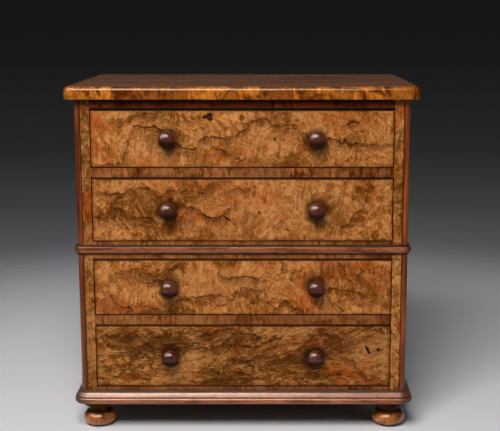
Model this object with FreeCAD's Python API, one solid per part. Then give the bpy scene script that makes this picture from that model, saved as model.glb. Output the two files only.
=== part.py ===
import FreeCAD, Part
import math
import os

# A table-top chest of four drawers in veneered walnut, on four turned bun feet.
# Lengths are in millimetres. X runs to the right, Y to the back and Z up.
# The origin is on the floor, under the middle of the chest's width and depth, knobs included.

# Carcase
CARCASE_WIDTH = 361.0
CARCASE_DEPTH = 240.0
CARCASE_HEIGHT = 326.2        # base board to top
SIDE_THICKNESS = 10.0
BACK_THICKNESS = 5.0
BACK_LIP = 4.0                # what a side leaves standing outside the back board
BASE_THICKNESS = 11.5
POST_SIZE = 7.3               # dark post let into each front corner
POST_RADIUS = 6.5
POST_QUIRK = 0.6              # chamfer on each side of the joint between post and stile
POST_LAND = 0.1               # flat left on the post between its round corner and the chamfer
STILE_WIDTH = 9.9
STILE_DEPTH = 20.0

# Rails
RAIL_DEPTH = 40.0
BOTTOM_RAIL_HEIGHT = 6.8
LOWER_RAIL_HEIGHT = 10.3
WAIST_RAIL_HEIGHT = 18.9
UPPER_RAIL_HEIGHT = 10.0
TOP_RAIL_HEIGHT = 10.2
TENON_LENGTH = 4.0
TENON_THICKNESS = 7.0
TENON_SETBACK = 7.0           # face of the rail to the face of its tenon
TENON_SHOULDER = 1.4          # above and below the tenon

# Drawer openings. The lowest, drawer 4's, has the height that the others and the rails leave.
OPENING_3_HEIGHT = 64.0
OPENING_2_HEIGHT = 70.5
OPENING_1_HEIGHT = 63.9

# Runners, guides, dust boards and drawer stops
RUNNER_WIDTH = 20.0
GUIDE_HEIGHT = 12.0
DUST_BOARD_THICKNESS = 4.0
GROOVE_DEPTH = 4.0
STOP_WIDTH = 20.0
STOP_DEPTH = 10.0
STOP_THICKNESS = 2.5
STOP_SPACING = 200.0
STOP_CLEARANCE = 0.1

# Top
TOP_THICKNESS = 13.8
TOP_OVERHANG = 9.5            # at the front and at both sides
TOP_EDGE_WIDTH = 11.0         # cross-grain edging round the top
TOP_EDGE_ROUND = 5.0
TOP_EDGE_EASE = 1.0
VENEER_THICKNESS = 0.8

# Mouldings
WAIST_MOULDING_HEIGHT = 10.6
WAIST_MOULDING_REACH = 3.5
WAIST_MOULDING_RAISE = 0.5    # its middle above the middle of the rail
WAIST_SHOULDER = 0.7          # radius of its two shoulders, as a share of its reach
BASE_MOULDING_HEIGHT = 14.3
BASE_MOULDING_REACH = 8.2
BASE_BEAD_HEIGHT = 6.6        # lower bead of the base moulding
BASE_BEAD_TUCK = 1.5          # how far the bead turns in at its foot
BASE_SHELF = 2.0              # flat on top, from the carcase to where the slope starts
BASE_SLOPE_HOLLOW = 0.2       # how far the slope dips behind a straight line
QUIRK_DEPTH = 1.0
QUIRK_WIDTH = 1.1

# Bun feet, which rest on a small flat pad
FOOT_HEIGHT = 32.5
FOOT_PAD_DIAMETER = 10.0
BUN_DIAMETER = 37.0
BUN_WIDEST = 8.3              # height of the bun's widest line
BUN_HEIGHT = 18.8
FOOT_NECK_DIAMETER = 24.0
FOOT_NECK_LENGTH = 0.8
FOOT_COVE_HEIGHT = 5.4
FOOT_COLLAR_DIAMETER = 35.0
FOOT_INSET_SIDE = 16.5        # carcase side to the foot's axis
FOOT_INSET_FRONT = 22.0
FOOT_INSET_BACK = 22.0
FOOT_SPIGOT_DIAMETER = 10.0
FOOT_SPIGOT_LENGTH = 9.0

# Drawers
DRAWER_BACK_GAP = 18.6        # drawer's back to the back board
DRAWER_FRONT_THICKNESS = 12.0
DRAWER_SIDE_THICKNESS = 6.0
DRAWER_BACK_THICKNESS = 6.0
DRAWER_BOTTOM_THICKNESS = 4.0
DRAWER_BOTTOM_RAISE = 5.0
DRAWER_BOTTOM_GROOVE = 3.0
DRAWER_SIDE_DROP = 2.0        # top of the front down to the top of the sides
DRAWER_BACK_DROP = 3.0        # top of the sides down to the top of the back
DRAWER_SIDE_EASE = 1.5        # rounding along the top of the sides
FRONT_RECESS = 0.4
FRONT_EASE = 0.5
SIDE_GAP = 0.8
TOP_GAP = 1.4
FRONT_LIFT = 0.8
RUNNING_GAP = 0.1
TAIL_COUNT = 3
TAIL_SLOPE = 6.0
PIN_WIDTH = 5.0
HALF_PIN = 4.0
DOVETAIL_LAP = 3.0

# Knobs
KNOB_SPACING = 160.0
KNOB_DIAMETER = 19.0
KNOB_REACH = 18.6
KNOB_RIM_START = 9.4          # where the rim begins, out from the drawer's face
KNOB_RIM_END = 12.2
KNOB_UNDERSIDE_DIAMETER = 17.4
KNOB_DOME_DIAMETER = 16.8
KNOB_DOME_POWER = 2.5         # 2 is half an ellipse, and more is flatter in the middle
KNOB_DIMPLE_DIAMETER = 6.0
KNOB_DIMPLE_DEPTH = 0.4
KNOB_NECK_DIAMETER = 8.6
KNOB_NECK_REACH = 4.6
KNOB_COLLAR_DIAMETER = 11.6
KNOB_COLLAR_THICKNESS = 1.4
KNOB_SPIGOT_DIAMETER = 8.0
KNOB_SPIGOT_SHORT = 0.5       # what the spigot stops short of the drawer front's back

# Screws
SCREW_HEAD_DIAMETER = 6.0
SCREW_SHANK_DIAMETER = 3.0
SCREW_LENGTH = 16.0
SCREW_HEAD_DEPTH = 1.8
SCREW_SLOT_WIDTH = 0.8
SCREW_SLOT_DEPTH = 0.8
BACK_SCREWS_PER_SIDE = 4
BACK_SCREW_MARGIN = 30.0
TOP_SCREW_MARGIN = 35.0

FIT_CLEARANCE = 0.05          # round spigots and screws in their holes
CURVE_POINTS = 8              # points along each smooth curve of a turning or moulding

# Sizes that follow from those above
POST_ROUND = min(POST_RADIUS, POST_SIZE - POST_QUIRK - POST_LAND)
KNOB_OUT = KNOB_REACH - FRONT_RECESS
FRONT = (KNOB_OUT - CARCASE_DEPTH) / 2
BACK = FRONT + CARCASE_DEPTH
PANEL_BACK = BACK - BACK_THICKNESS
HALF_WIDTH = CARCASE_WIDTH / 2
HALF_OPENING = HALF_WIDTH - POST_SIZE - STILE_WIDTH
SIDE_INNER = HALF_WIDTH - SIDE_THICKNESS
RUNNER_INNER = SIDE_INNER - RUNNER_WIDTH
CARCASE_BOTTOM = FOOT_HEIGHT + BASE_THICKNESS
HALF_DRAWER = HALF_OPENING - SIDE_GAP
DRAWER_INNER = HALF_DRAWER - DRAWER_SIDE_THICKNESS
DRAWER_FACE = FRONT + FRONT_RECESS
DRAWER_CORE = DRAWER_FACE + VENEER_THICKNESS
DRAWER_FRONT_BACK = DRAWER_CORE + DRAWER_FRONT_THICKNESS
DRAWER_REAR = PANEL_BACK - DRAWER_BACK_GAP
KNOB_CENTRES = (-KNOB_SPACING / 2, KNOB_SPACING / 2)

CARCASE_TOP = CARCASE_BOTTOM + CARCASE_HEIGHT
TOP_SURFACE = CARCASE_TOP + TOP_THICKNESS

# From the highest down, each rail with the opening under it
LEVELS = [
    ("top_rail", TOP_RAIL_HEIGHT, "drawer_1", OPENING_1_HEIGHT),
    ("upper_rail", UPPER_RAIL_HEIGHT, "drawer_2", OPENING_2_HEIGHT),
    ("waist_rail", WAIST_RAIL_HEIGHT, "drawer_3", OPENING_3_HEIGHT),
]


def rails_and_openings():
    """Lower and upper limits of the rails and of the drawer openings."""
    rails = {}
    openings = {}
    level = CARCASE_TOP
    for rail_name, rail_height, opening, opening_height in LEVELS:
        rails[rail_name] = (level - rail_height, level)
        level -= rail_height
        openings[opening] = (level - opening_height, level)
        level -= opening_height
    rails["lower_rail"] = (level - LOWER_RAIL_HEIGHT, level)
    rails["bottom_rail"] = (CARCASE_BOTTOM, CARCASE_BOTTOM + BOTTOM_RAIL_HEIGHT)
    openings["drawer_4"] = (rails["bottom_rail"][1], rails["lower_rail"][0])
    return rails, openings


RAIL_LEVELS, OPENING_LEVELS = rails_and_openings()


def vec(x, y, z):
    return FreeCAD.Vector(x, y, z)


def box(x_range, y_range, z_range):
    """Box between two limits on each axis, given in either order."""
    low = [min(pair) for pair in (x_range, y_range, z_range)]
    size = [abs(pair[1] - pair[0]) for pair in (x_range, y_range, z_range)]
    return Part.makeBox(size[0], size[1], size[2], vec(*low))


def joined(shapes):
    """One solid from pieces that touch or overlap."""
    whole = shapes[0]
    for shape in shapes[1:]:
        whole = whole.fuse(shape)
    return whole.removeSplitter()


def outline_edges(start, steps, place):
    """Edges from a start point on. A step of one point is a line, one of two points is an
    arc through the first to the second, and a longer one is a smooth curve through all."""
    edges = []
    here = start
    for step in steps:
        points = [place(*point) for point in (here,) + step]
        if len(step) == 1:
            edges.append(Part.LineSegment(points[0], points[1]).toShape())
        elif len(step) == 2:
            edges.append(Part.Arc(*points).toShape())
        else:
            curve = Part.BSplineCurve()
            curve.interpolate(points)
            edges.append(curve.toShape())
        here = step[-1]
    return edges


def section(start, steps, place):
    """Flat face inside a closed outline. The steps end where they start."""
    return Part.Face(Part.Wire(outline_edges(start, steps, place)))


def hollow_middle(start, end, hollow):
    """Middle point of an arc that stands off its chord, to the left of the way along it."""
    dx = end[0] - start[0]
    dy = end[1] - start[1]
    share = hollow / math.hypot(dx, dy)
    return ((start[0] + end[0]) / 2 - share * dy, (start[1] + end[1]) / 2 + share * dx)


def cove_middle(start, end):
    """Middle point of a hollow quarter turn that leaves its start upright and ends level."""
    along = 1 - math.sqrt(0.5)
    return (start[0] + along * (end[0] - start[0]),
            start[1] + math.sqrt(0.5) * (end[1] - start[1]))


def flattened_round(reach, half, shoulder):
    """Points (reach, height) of a flattened half-round from its foot to its head. They lie in
    pairs on three arcs that run into one another, the outer two of the shoulder's radius."""
    drop = half - shoulder
    crown = (reach ** 2 + drop ** 2 - shoulder ** 2) / (2 * (reach - shoulder))
    turn = math.atan2(drop, crown - reach)
    upper = [(shoulder * math.cos(angle), drop + shoulder * math.sin(angle))
             for angle in (turn, (turn + math.pi / 2) / 2)] + [(0, half)]
    lower = [(out, -up) for out, up in reversed(upper)]
    return lower + [(reach, 0)] + upper


def turned(start, steps, centre, axis, radial):
    """Solid of revolution. Points are (radius, distance along the axis from the centre)."""
    face = section(start, steps, lambda r, d: centre + radial * r + axis * d)
    return face.revolve(centre, axis, 360)


TOUCHING = 1e-6


def lies_at_x(edge, x):
    return all(abs(vertex.X - x) < TOUCHING for vertex in edge.Vertexes)


def lies_at_y(edge, y):
    return all(abs(vertex.Y - y) < TOUCHING for vertex in edge.Vertexes)


def lies_at_z(edge, z):
    return all(abs(vertex.Z - z) < TOUCHING for vertex in edge.Vertexes)


def rounded_plan(z_low, z_high):
    """The carcase's outline with its two rounded front corners, as a prism."""
    turn = POST_ROUND * (1 - math.sqrt(0.5))
    inner = HALF_WIDTH - POST_ROUND
    start = (-HALF_WIDTH, BACK)
    steps = [
        ((-HALF_WIDTH, FRONT + POST_ROUND),),
        ((-HALF_WIDTH + turn, FRONT + turn), (-inner, FRONT)),
        ((inner, FRONT),),
        ((HALF_WIDTH - turn, FRONT + turn), (HALF_WIDTH, FRONT + POST_ROUND)),
        ((HALF_WIDTH, BACK),),
        ((-HALF_WIDTH, BACK),),
    ]
    face = section(start, steps, lambda x, y: vec(x, y, z_low))
    return face.extrude(vec(0, 0, z_high - z_low))


def moulding(start, steps, corner_x, corner_y, back_y):
    """Front, left and right runs of a moulding, mitred at the two front corners.
    Section points are (distance out from the corner's axis, height)."""
    axis_point = vec(corner_x, corner_y, 0)
    up = vec(0, 0, 1)
    front_face = section(start, steps, lambda r, z: vec(corner_x, corner_y - r, z))
    half_turn = front_face.revolve(axis_point, up, 45)
    mitre_face = front_face.copy()
    mitre_face.rotate(axis_point, up, 45)
    side_turn = mitre_face.revolve(axis_point, up, 45)
    side_face = front_face.copy()
    side_face.rotate(axis_point, up, 90)
    side_run = side_face.extrude(vec(0, back_y - corner_y, 0))
    front_run = front_face.extrude(vec(-2 * corner_x, 0, 0))
    mirror = (vec(0, 0, 0), vec(1, 0, 0))
    front = joined([front_run, half_turn, half_turn.mirror(*mirror)])
    right = joined([side_turn, side_run])
    return [front, right.mirror(*mirror), right]


def screw(head, direction, clearance):
    """Countersunk wood screw with its head flush at a point, or its hole with a clearance."""
    head_r = SCREW_HEAD_DIAMETER / 2 + clearance
    shank_r = SCREW_SHANK_DIAMETER / 2 + clearance
    length = SCREW_LENGTH + clearance
    point_length = SCREW_SHANK_DIAMETER
    side = direction.cross(vec(1, 0, 0))
    steps = [
        ((head_r, 0),),
        ((shank_r, SCREW_HEAD_DEPTH),),
        ((shank_r, length - point_length),),
        ((0, length),),
        ((0, 0),),
    ]
    body = turned((0, 0), steps, head, direction, side)
    if clearance > 0:
        return body
    reach = direction * SCREW_SLOT_DEPTH
    half_slot = side * (SCREW_SLOT_WIDTH / 2)
    half_head = vec(SCREW_HEAD_DIAMETER, 0, 0)
    near = head - half_slot - half_head
    far = head + half_slot + half_head + reach
    slot = box((near.x, far.x), (near.y, far.y), (near.z, far.z))
    return body.cut(slot)


def screw_places():
    """Head points and directions of the screws in the back board and in the top kickers."""
    places = []
    lip_centre = (SIDE_INNER + HALF_WIDTH - BACK_LIP) / 2
    low = CARCASE_BOTTOM + BACK_SCREW_MARGIN
    high = CARCASE_TOP - BACK_SCREW_MARGIN
    pitch = (high - low) / (BACK_SCREWS_PER_SIDE - 1)
    kicker_x = SIDE_INNER - RUNNER_WIDTH / 2
    kicker_z = RAIL_LEVELS["top_rail"][0]
    for sign in (-1, 1):
        for index in range(BACK_SCREWS_PER_SIDE):
            head = vec(sign * lip_centre, BACK, low + index * pitch)
            places.append((head, vec(0, -1, 0)))
        for y in (FRONT + RAIL_DEPTH + TOP_SCREW_MARGIN, PANEL_BACK - TOP_SCREW_MARGIN):
            places.append((vec(sign * kicker_x, y, kicker_z), vec(0, 0, 1)))
    return places


SCREW_HOLES = [screw(head, direction, FIT_CLEARANCE) for head, direction in screw_places()]


def drilled(shape):
    """The shape with every screw hole that meets it cut out."""
    for hole in SCREW_HOLES:
        if shape.BoundBox.intersect(hole.BoundBox):
            shape = shape.cut(hole)
    return shape


def foot_axis(sign, place):
    """Point on the floor under a foot. Sign is -1 for the left, place is front or back."""
    inset = {"front": FRONT + FOOT_INSET_FRONT, "back": BACK - FOOT_INSET_BACK}
    return vec(sign * (HALF_WIDTH - FOOT_INSET_SIDE), inset[place], 0)


def bun_points(end_r, end_z):
    """Points of the bun's part ellipse from its widest line to (end_r, end_z)."""
    bun_r = BUN_DIAMETER / 2
    end_angle = math.acos(end_r / bun_r)
    rise = (end_z - BUN_WIDEST) / math.sin(end_angle)
    half = CURVE_POINTS // 2
    angles = [end_angle * index / half for index in range(half + 1)]
    return [(bun_r * math.cos(angle), BUN_WIDEST + rise * math.sin(angle)) for angle in angles]


def bun_foot(sign, place):
    """Turned foot: flat pad, flattened bun, coved neck, collar and a spigot on top."""
    neck_r = FOOT_NECK_DIAMETER / 2
    collar_r = FOOT_COLLAR_DIAMETER / 2
    spigot_r = FOOT_SPIGOT_DIAMETER / 2
    neck_top = (neck_r, BUN_HEIGHT + FOOT_NECK_LENGTH)
    cove_top = (collar_r, neck_top[1] + FOOT_COVE_HEIGHT)
    top = FOOT_HEIGHT + FOOT_SPIGOT_LENGTH
    below = bun_points(FOOT_PAD_DIAMETER / 2, 0)
    above = bun_points(neck_r, BUN_HEIGHT)
    steps = [
        (below[-1],),
        tuple(below[-2::-1] + above[1:]),
        (neck_top,),
        (cove_middle(neck_top, cove_top), cove_top),
        ((collar_r, FOOT_HEIGHT),),
        ((spigot_r, FOOT_HEIGHT),),
        ((spigot_r, top),),
        ((0, top),),
        ((0, 0),),
    ]
    return turned((0, 0), steps, foot_axis(sign, place), vec(0, 0, 1), vec(1, 0, 0))


def base_board():
    """Board under the whole carcase, with a blind hole for each foot's spigot."""
    board = rounded_plan(FOOT_HEIGHT, CARCASE_BOTTOM)
    radius = FOOT_SPIGOT_DIAMETER / 2 + FIT_CLEARANCE
    for sign in (-1, 1):
        for place in ("front", "back"):
            mouth = foot_axis(sign, place) + vec(0, 0, FOOT_HEIGHT)
            depth = FOOT_SPIGOT_LENGTH + FIT_CLEARANCE
            board = board.cut(Part.makeCylinder(radius, depth, mouth))
    return board


def quirked(post, x):
    """Takes a small chamfer off the upright front edge of a post or stile at x."""
    edges = [edge for edge in post.Edges if lies_at_y(edge, FRONT) and lies_at_x(edge, x)]
    return post.makeChamfer(POST_QUIRK, edges)


def corner_post(sign):
    """Dark post with a rounded outer corner, from the base board to the top."""
    x_range = (sign * (HALF_WIDTH - POST_SIZE), sign * HALF_WIDTH)
    post = box(x_range, (FRONT, FRONT + POST_SIZE), (CARCASE_BOTTOM, CARCASE_TOP))
    post = post.common(rounded_plan(CARCASE_BOTTOM, CARCASE_TOP))
    return quirked(post, x_range[0])


def tenon(sign, rail):
    """Tenon at one end of a rail, which is also its mortise in the stile."""
    low, high = RAIL_LEVELS[rail]
    x_range = (sign * HALF_OPENING, sign * (HALF_OPENING + TENON_LENGTH))
    y_low = FRONT + TENON_SETBACK
    z_range = (low + TENON_SHOULDER, high - TENON_SHOULDER)
    return box(x_range, (y_low, y_low + TENON_THICKNESS), z_range)


def stile(sign):
    """Upright beside the drawers, mortised for the rails."""
    x_range = (sign * HALF_OPENING, sign * (HALF_OPENING + STILE_WIDTH))
    post = box(x_range, (FRONT, FRONT + STILE_DEPTH), (CARCASE_BOTTOM, CARCASE_TOP))
    for rail in RAIL_LEVELS:
        post = post.cut(tenon(sign, rail))
    return quirked(post, x_range[1])


def side(sign):
    """Side board, lapped over the stile in front and rebated for the back board."""
    board = box((sign * SIDE_INNER, sign * HALF_WIDTH), (FRONT + POST_SIZE, BACK),
                (CARCASE_BOTTOM, CARCASE_TOP))
    lap = box((0, sign * (HALF_WIDTH - POST_SIZE)), (FRONT, FRONT + STILE_DEPTH),
              (CARCASE_BOTTOM, CARCASE_TOP))
    rebate = box((0, sign * (HALF_WIDTH - BACK_LIP)), (PANEL_BACK, BACK),
                 (CARCASE_BOTTOM, CARCASE_TOP))
    return drilled(board.cut(lap).cut(rebate))


def back_board():
    edge = HALF_WIDTH - BACK_LIP
    return drilled(box((-edge, edge), (PANEL_BACK, BACK), (CARCASE_BOTTOM, CARCASE_TOP)))


def dust_levels(rail):
    """Heights of the groove half way up a rail and its runners."""
    low, high = RAIL_LEVELS[rail]
    middle = (low + high) / 2
    return (middle - DUST_BOARD_THICKNESS / 2, middle + DUST_BOARD_THICKNESS / 2)


def runner_tongue(sign, rail):
    """Tongue on a runner's front end, which is also its place in the rail."""
    back = FRONT + RAIL_DEPTH
    x_range = (sign * (RUNNER_INNER + GROOVE_DEPTH), sign * HALF_OPENING)
    return box(x_range, (back - GROOVE_DEPTH, back), dust_levels(rail))


def dust_board(rail):
    """Thin board between the runners, in grooves in them and in the rail."""
    edge = RUNNER_INNER + GROOVE_DEPTH
    return box((-edge, edge), (FRONT + RAIL_DEPTH - GROOVE_DEPTH, PANEL_BACK), dust_levels(rail))


DUST_RAILS = ("lower_rail", "waist_rail", "upper_rail")


def rail(name):
    """Cross rail with a tenon at each end and a groove for what lies behind it."""
    low, high = RAIL_LEVELS[name]
    member = box((-HALF_OPENING, HALF_OPENING), (FRONT, FRONT + RAIL_DEPTH), (low, high))
    for sign in (-1, 1):
        member = member.fuse(tenon(sign, name))
        member = member.cut(runner_tongue(sign, name))
    if name in DUST_RAILS:
        member = member.cut(dust_board(name))
    return member.removeSplitter()


def runner(sign, name):
    """Strip behind a rail's end that carries the drawer above and steadies the one below."""
    low, high = RAIL_LEVELS[name]
    strip = box((sign * RUNNER_INNER, sign * SIDE_INNER), (FRONT + RAIL_DEPTH, PANEL_BACK),
                (low, high))
    strip = strip.fuse(runner_tongue(sign, name))
    if name in DUST_RAILS:
        strip = strip.cut(dust_board(name))
    return drilled(strip.removeSplitter())


def drawer_guide(sign, opening):
    """Strip on a runner that keeps a drawer's side in line with the stile."""
    low = OPENING_LEVELS[opening][0]
    return box((sign * HALF_OPENING, sign * SIDE_INNER), (FRONT + STILE_DEPTH, PANEL_BACK),
               (low, low + GUIDE_HEIGHT))


def drawer_stop(sign, opening):
    """Block on a rail that a closing drawer front meets."""
    low = OPENING_LEVELS[opening][0]
    centre = sign * STOP_SPACING / 2
    near = DRAWER_FRONT_BACK + STOP_CLEARANCE
    return box((centre - STOP_WIDTH / 2, centre + STOP_WIDTH / 2), (near, near + STOP_DEPTH),
               (low, low + STOP_THICKNESS))


def top_core_ranges():
    edge = HALF_WIDTH + TOP_OVERHANG - TOP_EDGE_WIDTH
    return (-edge, edge), (FRONT - TOP_OVERHANG + TOP_EDGE_WIDTH, BACK)


def top_board():
    x_range, y_range = top_core_ranges()
    return drilled(box(x_range, y_range, (CARCASE_TOP, TOP_SURFACE - VENEER_THICKNESS)))


def top_veneer():
    x_range, y_range = top_core_ranges()
    return box(x_range, y_range, (TOP_SURFACE - VENEER_THICKNESS, TOP_SURFACE))


def top_edge_moulding():
    """Cross-grain edging with a rounded upper edge. Its corners turn about the core's own."""
    x_range, y_range = top_core_ranges()
    width = TOP_EDGE_WIDTH
    turn = TOP_EDGE_ROUND * (1 - math.sqrt(0.5))
    ease = TOP_EDGE_EASE * (1 - math.sqrt(0.5))
    steps = [
        ((width - TOP_EDGE_EASE, CARCASE_TOP),),
        ((width - ease, CARCASE_TOP + ease), (width, CARCASE_TOP + TOP_EDGE_EASE)),
        ((width, TOP_SURFACE - TOP_EDGE_ROUND),),
        ((width - turn, TOP_SURFACE - turn), (width - TOP_EDGE_ROUND, TOP_SURFACE)),
        ((0, TOP_SURFACE),),
        ((0, CARCASE_TOP),),
    ]
    return moulding((0, CARCASE_TOP), steps, x_range[1], y_range[0], BACK)


def waist_moulding():
    """Flattened half-round band round the front and sides, on the face of the waist rail."""
    low, high = RAIL_LEVELS["waist_rail"]
    middle = (low + high) / 2 + WAIST_MOULDING_RAISE
    curve = [(POST_ROUND + out, middle + up) for out, up in flattened_round(
        WAIST_MOULDING_REACH, WAIST_MOULDING_HEIGHT / 2, WAIST_SHOULDER * WAIST_MOULDING_REACH)]
    steps = [tuple(curve[1:3]), tuple(curve[3:5]), tuple(curve[5:7]), (curve[0],)]
    return moulding(curve[0], steps, HALF_WIDTH - POST_ROUND, FRONT + POST_ROUND, BACK)


def base_moulding():
    """Plinth moulding: a bead below, a fine quirk, a long slope and a narrow shelf on top."""
    low = FOOT_HEIGHT
    high = FOOT_HEIGHT + BASE_MOULDING_HEIGHT
    bead_top = low + BASE_BEAD_HEIGHT
    out = POST_ROUND + BASE_MOULDING_REACH
    shoulder = out - QUIRK_DEPTH
    slope_foot = (shoulder, bead_top + QUIRK_WIDTH)
    slope_head = (POST_ROUND + BASE_SHELF, high)
    steps = [
        ((out - BASE_BEAD_TUCK, low),),
        ((out, low + BASE_BEAD_HEIGHT / 2), (shoulder, bead_top)),
        ((shoulder - QUIRK_DEPTH, bead_top + QUIRK_WIDTH / 2),),
        (slope_foot,),
        (hollow_middle(slope_foot, slope_head, BASE_SLOPE_HOLLOW), slope_head),
        ((POST_ROUND, high),),
        ((POST_ROUND, low),),
    ]
    return moulding((POST_ROUND, low), steps, HALF_WIDTH - POST_ROUND, FRONT + POST_ROUND, BACK)


def tails(sign, root_y, end_y, z_range):
    """Dovetails that widen from the side board's shoulder to their ends, as prisms."""
    low, high = z_range
    width = (high - low - 2 * HALF_PIN - (TAIL_COUNT - 1) * PIN_WIDTH) / TAIL_COUNT
    flare = abs(end_y - root_y) / TAIL_SLOPE
    shapes = []
    for index in range(TAIL_COUNT):
        z0 = low + HALF_PIN + index * (width + PIN_WIDTH)
        z1 = z0 + width
        steps = [
            ((end_y, z0),),
            ((end_y, z1),),
            ((root_y, z1 - flare),),
            ((root_y, z0 + flare),),
        ]
        x = sign * DRAWER_INNER
        face = section((root_y, z0 + flare), steps, lambda y, z: vec(x, y, z))
        shapes.append(face.extrude(vec(sign * DRAWER_SIDE_THICKNESS, 0, 0)))
    return shapes


def knob_dome_points():
    """Points of the knob's face from its edge to the middle: part of a superellipse up to
    the ring where the knob reaches out furthest, and a shallow dimple inside that ring."""
    ring_r = KNOB_DIMPLE_DIAMETER / 2
    width = KNOB_DOME_DIAMETER / 2 - ring_r
    rise = KNOB_REACH - KNOB_RIM_END
    points = []
    for index in range(CURVE_POINTS):
        angle = math.pi / 2 * index / (CURVE_POINTS - 1)
        out = width * max(0.0, math.cos(angle)) ** (2 / KNOB_DOME_POWER)
        up = rise * math.sin(angle) ** (2 / KNOB_DOME_POWER)
        points.append((ring_r + out, KNOB_RIM_END + up))
    points.append((ring_r / 2, KNOB_REACH - KNOB_DIMPLE_DEPTH / 2))
    points.append((0, KNOB_REACH - KNOB_DIMPLE_DEPTH))
    return points


def knob(x, z):
    """Turned knob: collar, coved neck, rim, domed face with a shallow dimple, and spigot."""
    spigot_r = KNOB_SPIGOT_DIAMETER / 2
    collar = (KNOB_COLLAR_DIAMETER / 2, KNOB_COLLAR_THICKNESS)
    neck = (KNOB_NECK_DIAMETER / 2, KNOB_NECK_REACH)
    underside = (KNOB_UNDERSIDE_DIAMETER / 2, KNOB_RIM_START)
    rim = (KNOB_DIAMETER / 2, (KNOB_RIM_START + KNOB_RIM_END) / 2)
    dome = knob_dome_points()
    spigot_end = KNOB_SPIGOT_SHORT - VENEER_THICKNESS - DRAWER_FRONT_THICKNESS
    steps = [
        ((spigot_r, spigot_end),),
        ((spigot_r, 0),),
        ((collar[0], 0),),
        (collar,),
        (cove_middle(neck, collar), neck),
        (cove_middle(neck, underside), underside),
        (rim, dome[0]),
        tuple(dome[1:]),
        ((0, spigot_end),),
    ]
    seat = vec(x, DRAWER_FACE, z)
    return turned((0, spigot_end), steps, seat, vec(0, -1, 0), vec(1, 0, 0))


def rounded_along_top(board, z):
    """Rounds the two long upper edges of a drawer's side."""
    edges = [edge for edge in board.Edges
             if lies_at_z(edge, z) and not lies_at_y(edge, edge.Vertexes[0].Y)]
    return board.makeFillet(DRAWER_SIDE_EASE, edges)


def drawer(name):
    """All the pieces of one drawer by their node names."""
    low, high = OPENING_LEVELS[name]
    front_z = (low + FRONT_LIFT, high - TOP_GAP)
    side_z = (low + RUNNING_GAP, front_z[1] - DRAWER_SIDE_DROP)
    panel_z = (side_z[0] + DRAWER_BOTTOM_RAISE,
               side_z[0] + DRAWER_BOTTOM_RAISE + DRAWER_BOTTOM_THICKNESS)
    back_z = (panel_z[1], side_z[1] - DRAWER_BACK_DROP)
    panel_edge = DRAWER_INNER + DRAWER_BOTTOM_GROOVE
    panel = box((-panel_edge, panel_edge),
                (DRAWER_FRONT_BACK - DRAWER_BOTTOM_GROOVE, DRAWER_REAR), panel_z)
    front = box((-HALF_DRAWER, HALF_DRAWER), (DRAWER_CORE, DRAWER_FRONT_BACK), front_z).cut(panel)
    veneer = box((-HALF_DRAWER, HALF_DRAWER), (DRAWER_FACE, DRAWER_CORE), front_z)
    veneer = veneer.makeFillet(FRONT_EASE, [e for e in veneer.Edges if lies_at_y(e, DRAWER_FACE)])
    back_root = DRAWER_REAR - DRAWER_BACK_THICKNESS
    back = box((-HALF_DRAWER, HALF_DRAWER), (back_root, DRAWER_REAR), back_z)
    tail_end = DRAWER_CORE + DOVETAIL_LAP
    pieces = {}
    for sign, hand in ((-1, "left"), (1, "right")):
        board = box((sign * DRAWER_INNER, sign * HALF_DRAWER),
                    (DRAWER_FRONT_BACK, DRAWER_REAR), side_z)
        board = rounded_along_top(board, side_z[1]).cut(back)
        front_tails = tails(sign, DRAWER_FRONT_BACK, tail_end, side_z)
        back_tails = tails(sign, back_root, DRAWER_REAR, back_z)
        board = joined([board] + front_tails + back_tails).cut(panel)
        pieces[name + "_side_" + hand] = board
        for tail in front_tails:
            front = front.cut(tail)
        for tail in back_tails:
            back = back.cut(tail)
    knob_z = (front_z[0] + front_z[1]) / 2
    for x, hand in zip(KNOB_CENTRES, ("left", "right")):
        hole = Part.makeCylinder(KNOB_SPIGOT_DIAMETER / 2 + FIT_CLEARANCE,
                                 DRAWER_FRONT_BACK - DRAWER_FACE,
                                 vec(x, DRAWER_FACE, knob_z), vec(0, 1, 0))
        front = front.cut(hole)
        veneer = veneer.cut(hole)
        pieces[name + "_knob_" + hand] = knob(x, knob_z)
    pieces[name + "_front"] = front
    pieces[name + "_veneer"] = veneer
    pieces[name + "_back"] = back
    pieces[name + "_bottom"] = panel
    return pieces


def chest():
    """Every node of the chest, as a solid or a list of like solids."""
    parts = {
        "base_board": base_board(),
        "back_board": back_board(),
        "top_board": top_board(),
        "top_veneer": top_veneer(),
        "top_edge_moulding": top_edge_moulding(),
        "waist_moulding": waist_moulding(),
        "base_moulding": base_moulding(),
        "dust_boards": [dust_board(name) for name in DUST_RAILS],
        "drawer_runners": [runner(sign, name) for name in RAIL_LEVELS
                           if name != "top_rail" for sign in (-1, 1)],
        "top_kickers": [runner(sign, "top_rail") for sign in (-1, 1)],
        "drawer_guides": [drawer_guide(sign, name) for name in OPENING_LEVELS
                          for sign in (-1, 1)],
        "drawer_stops": [drawer_stop(sign, name) for name in OPENING_LEVELS
                         for sign in (-1, 1)],
        "wood_screws": [screw(head, direction, 0) for head, direction in screw_places()],
    }
    for sign, hand in ((-1, "left"), (1, "right")):
        parts["side_" + hand] = side(sign)
        parts["stile_" + hand] = stile(sign)
        parts["corner_post_" + hand] = corner_post(sign)
        for place in ("front", "back"):
            parts["foot_" + place + "_" + hand] = bun_foot(sign, place)
    for name in RAIL_LEVELS:
        parts[name] = rail(name)
    for name in OPENING_LEVELS:
        parts.update(drawer(name))
    return parts


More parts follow.
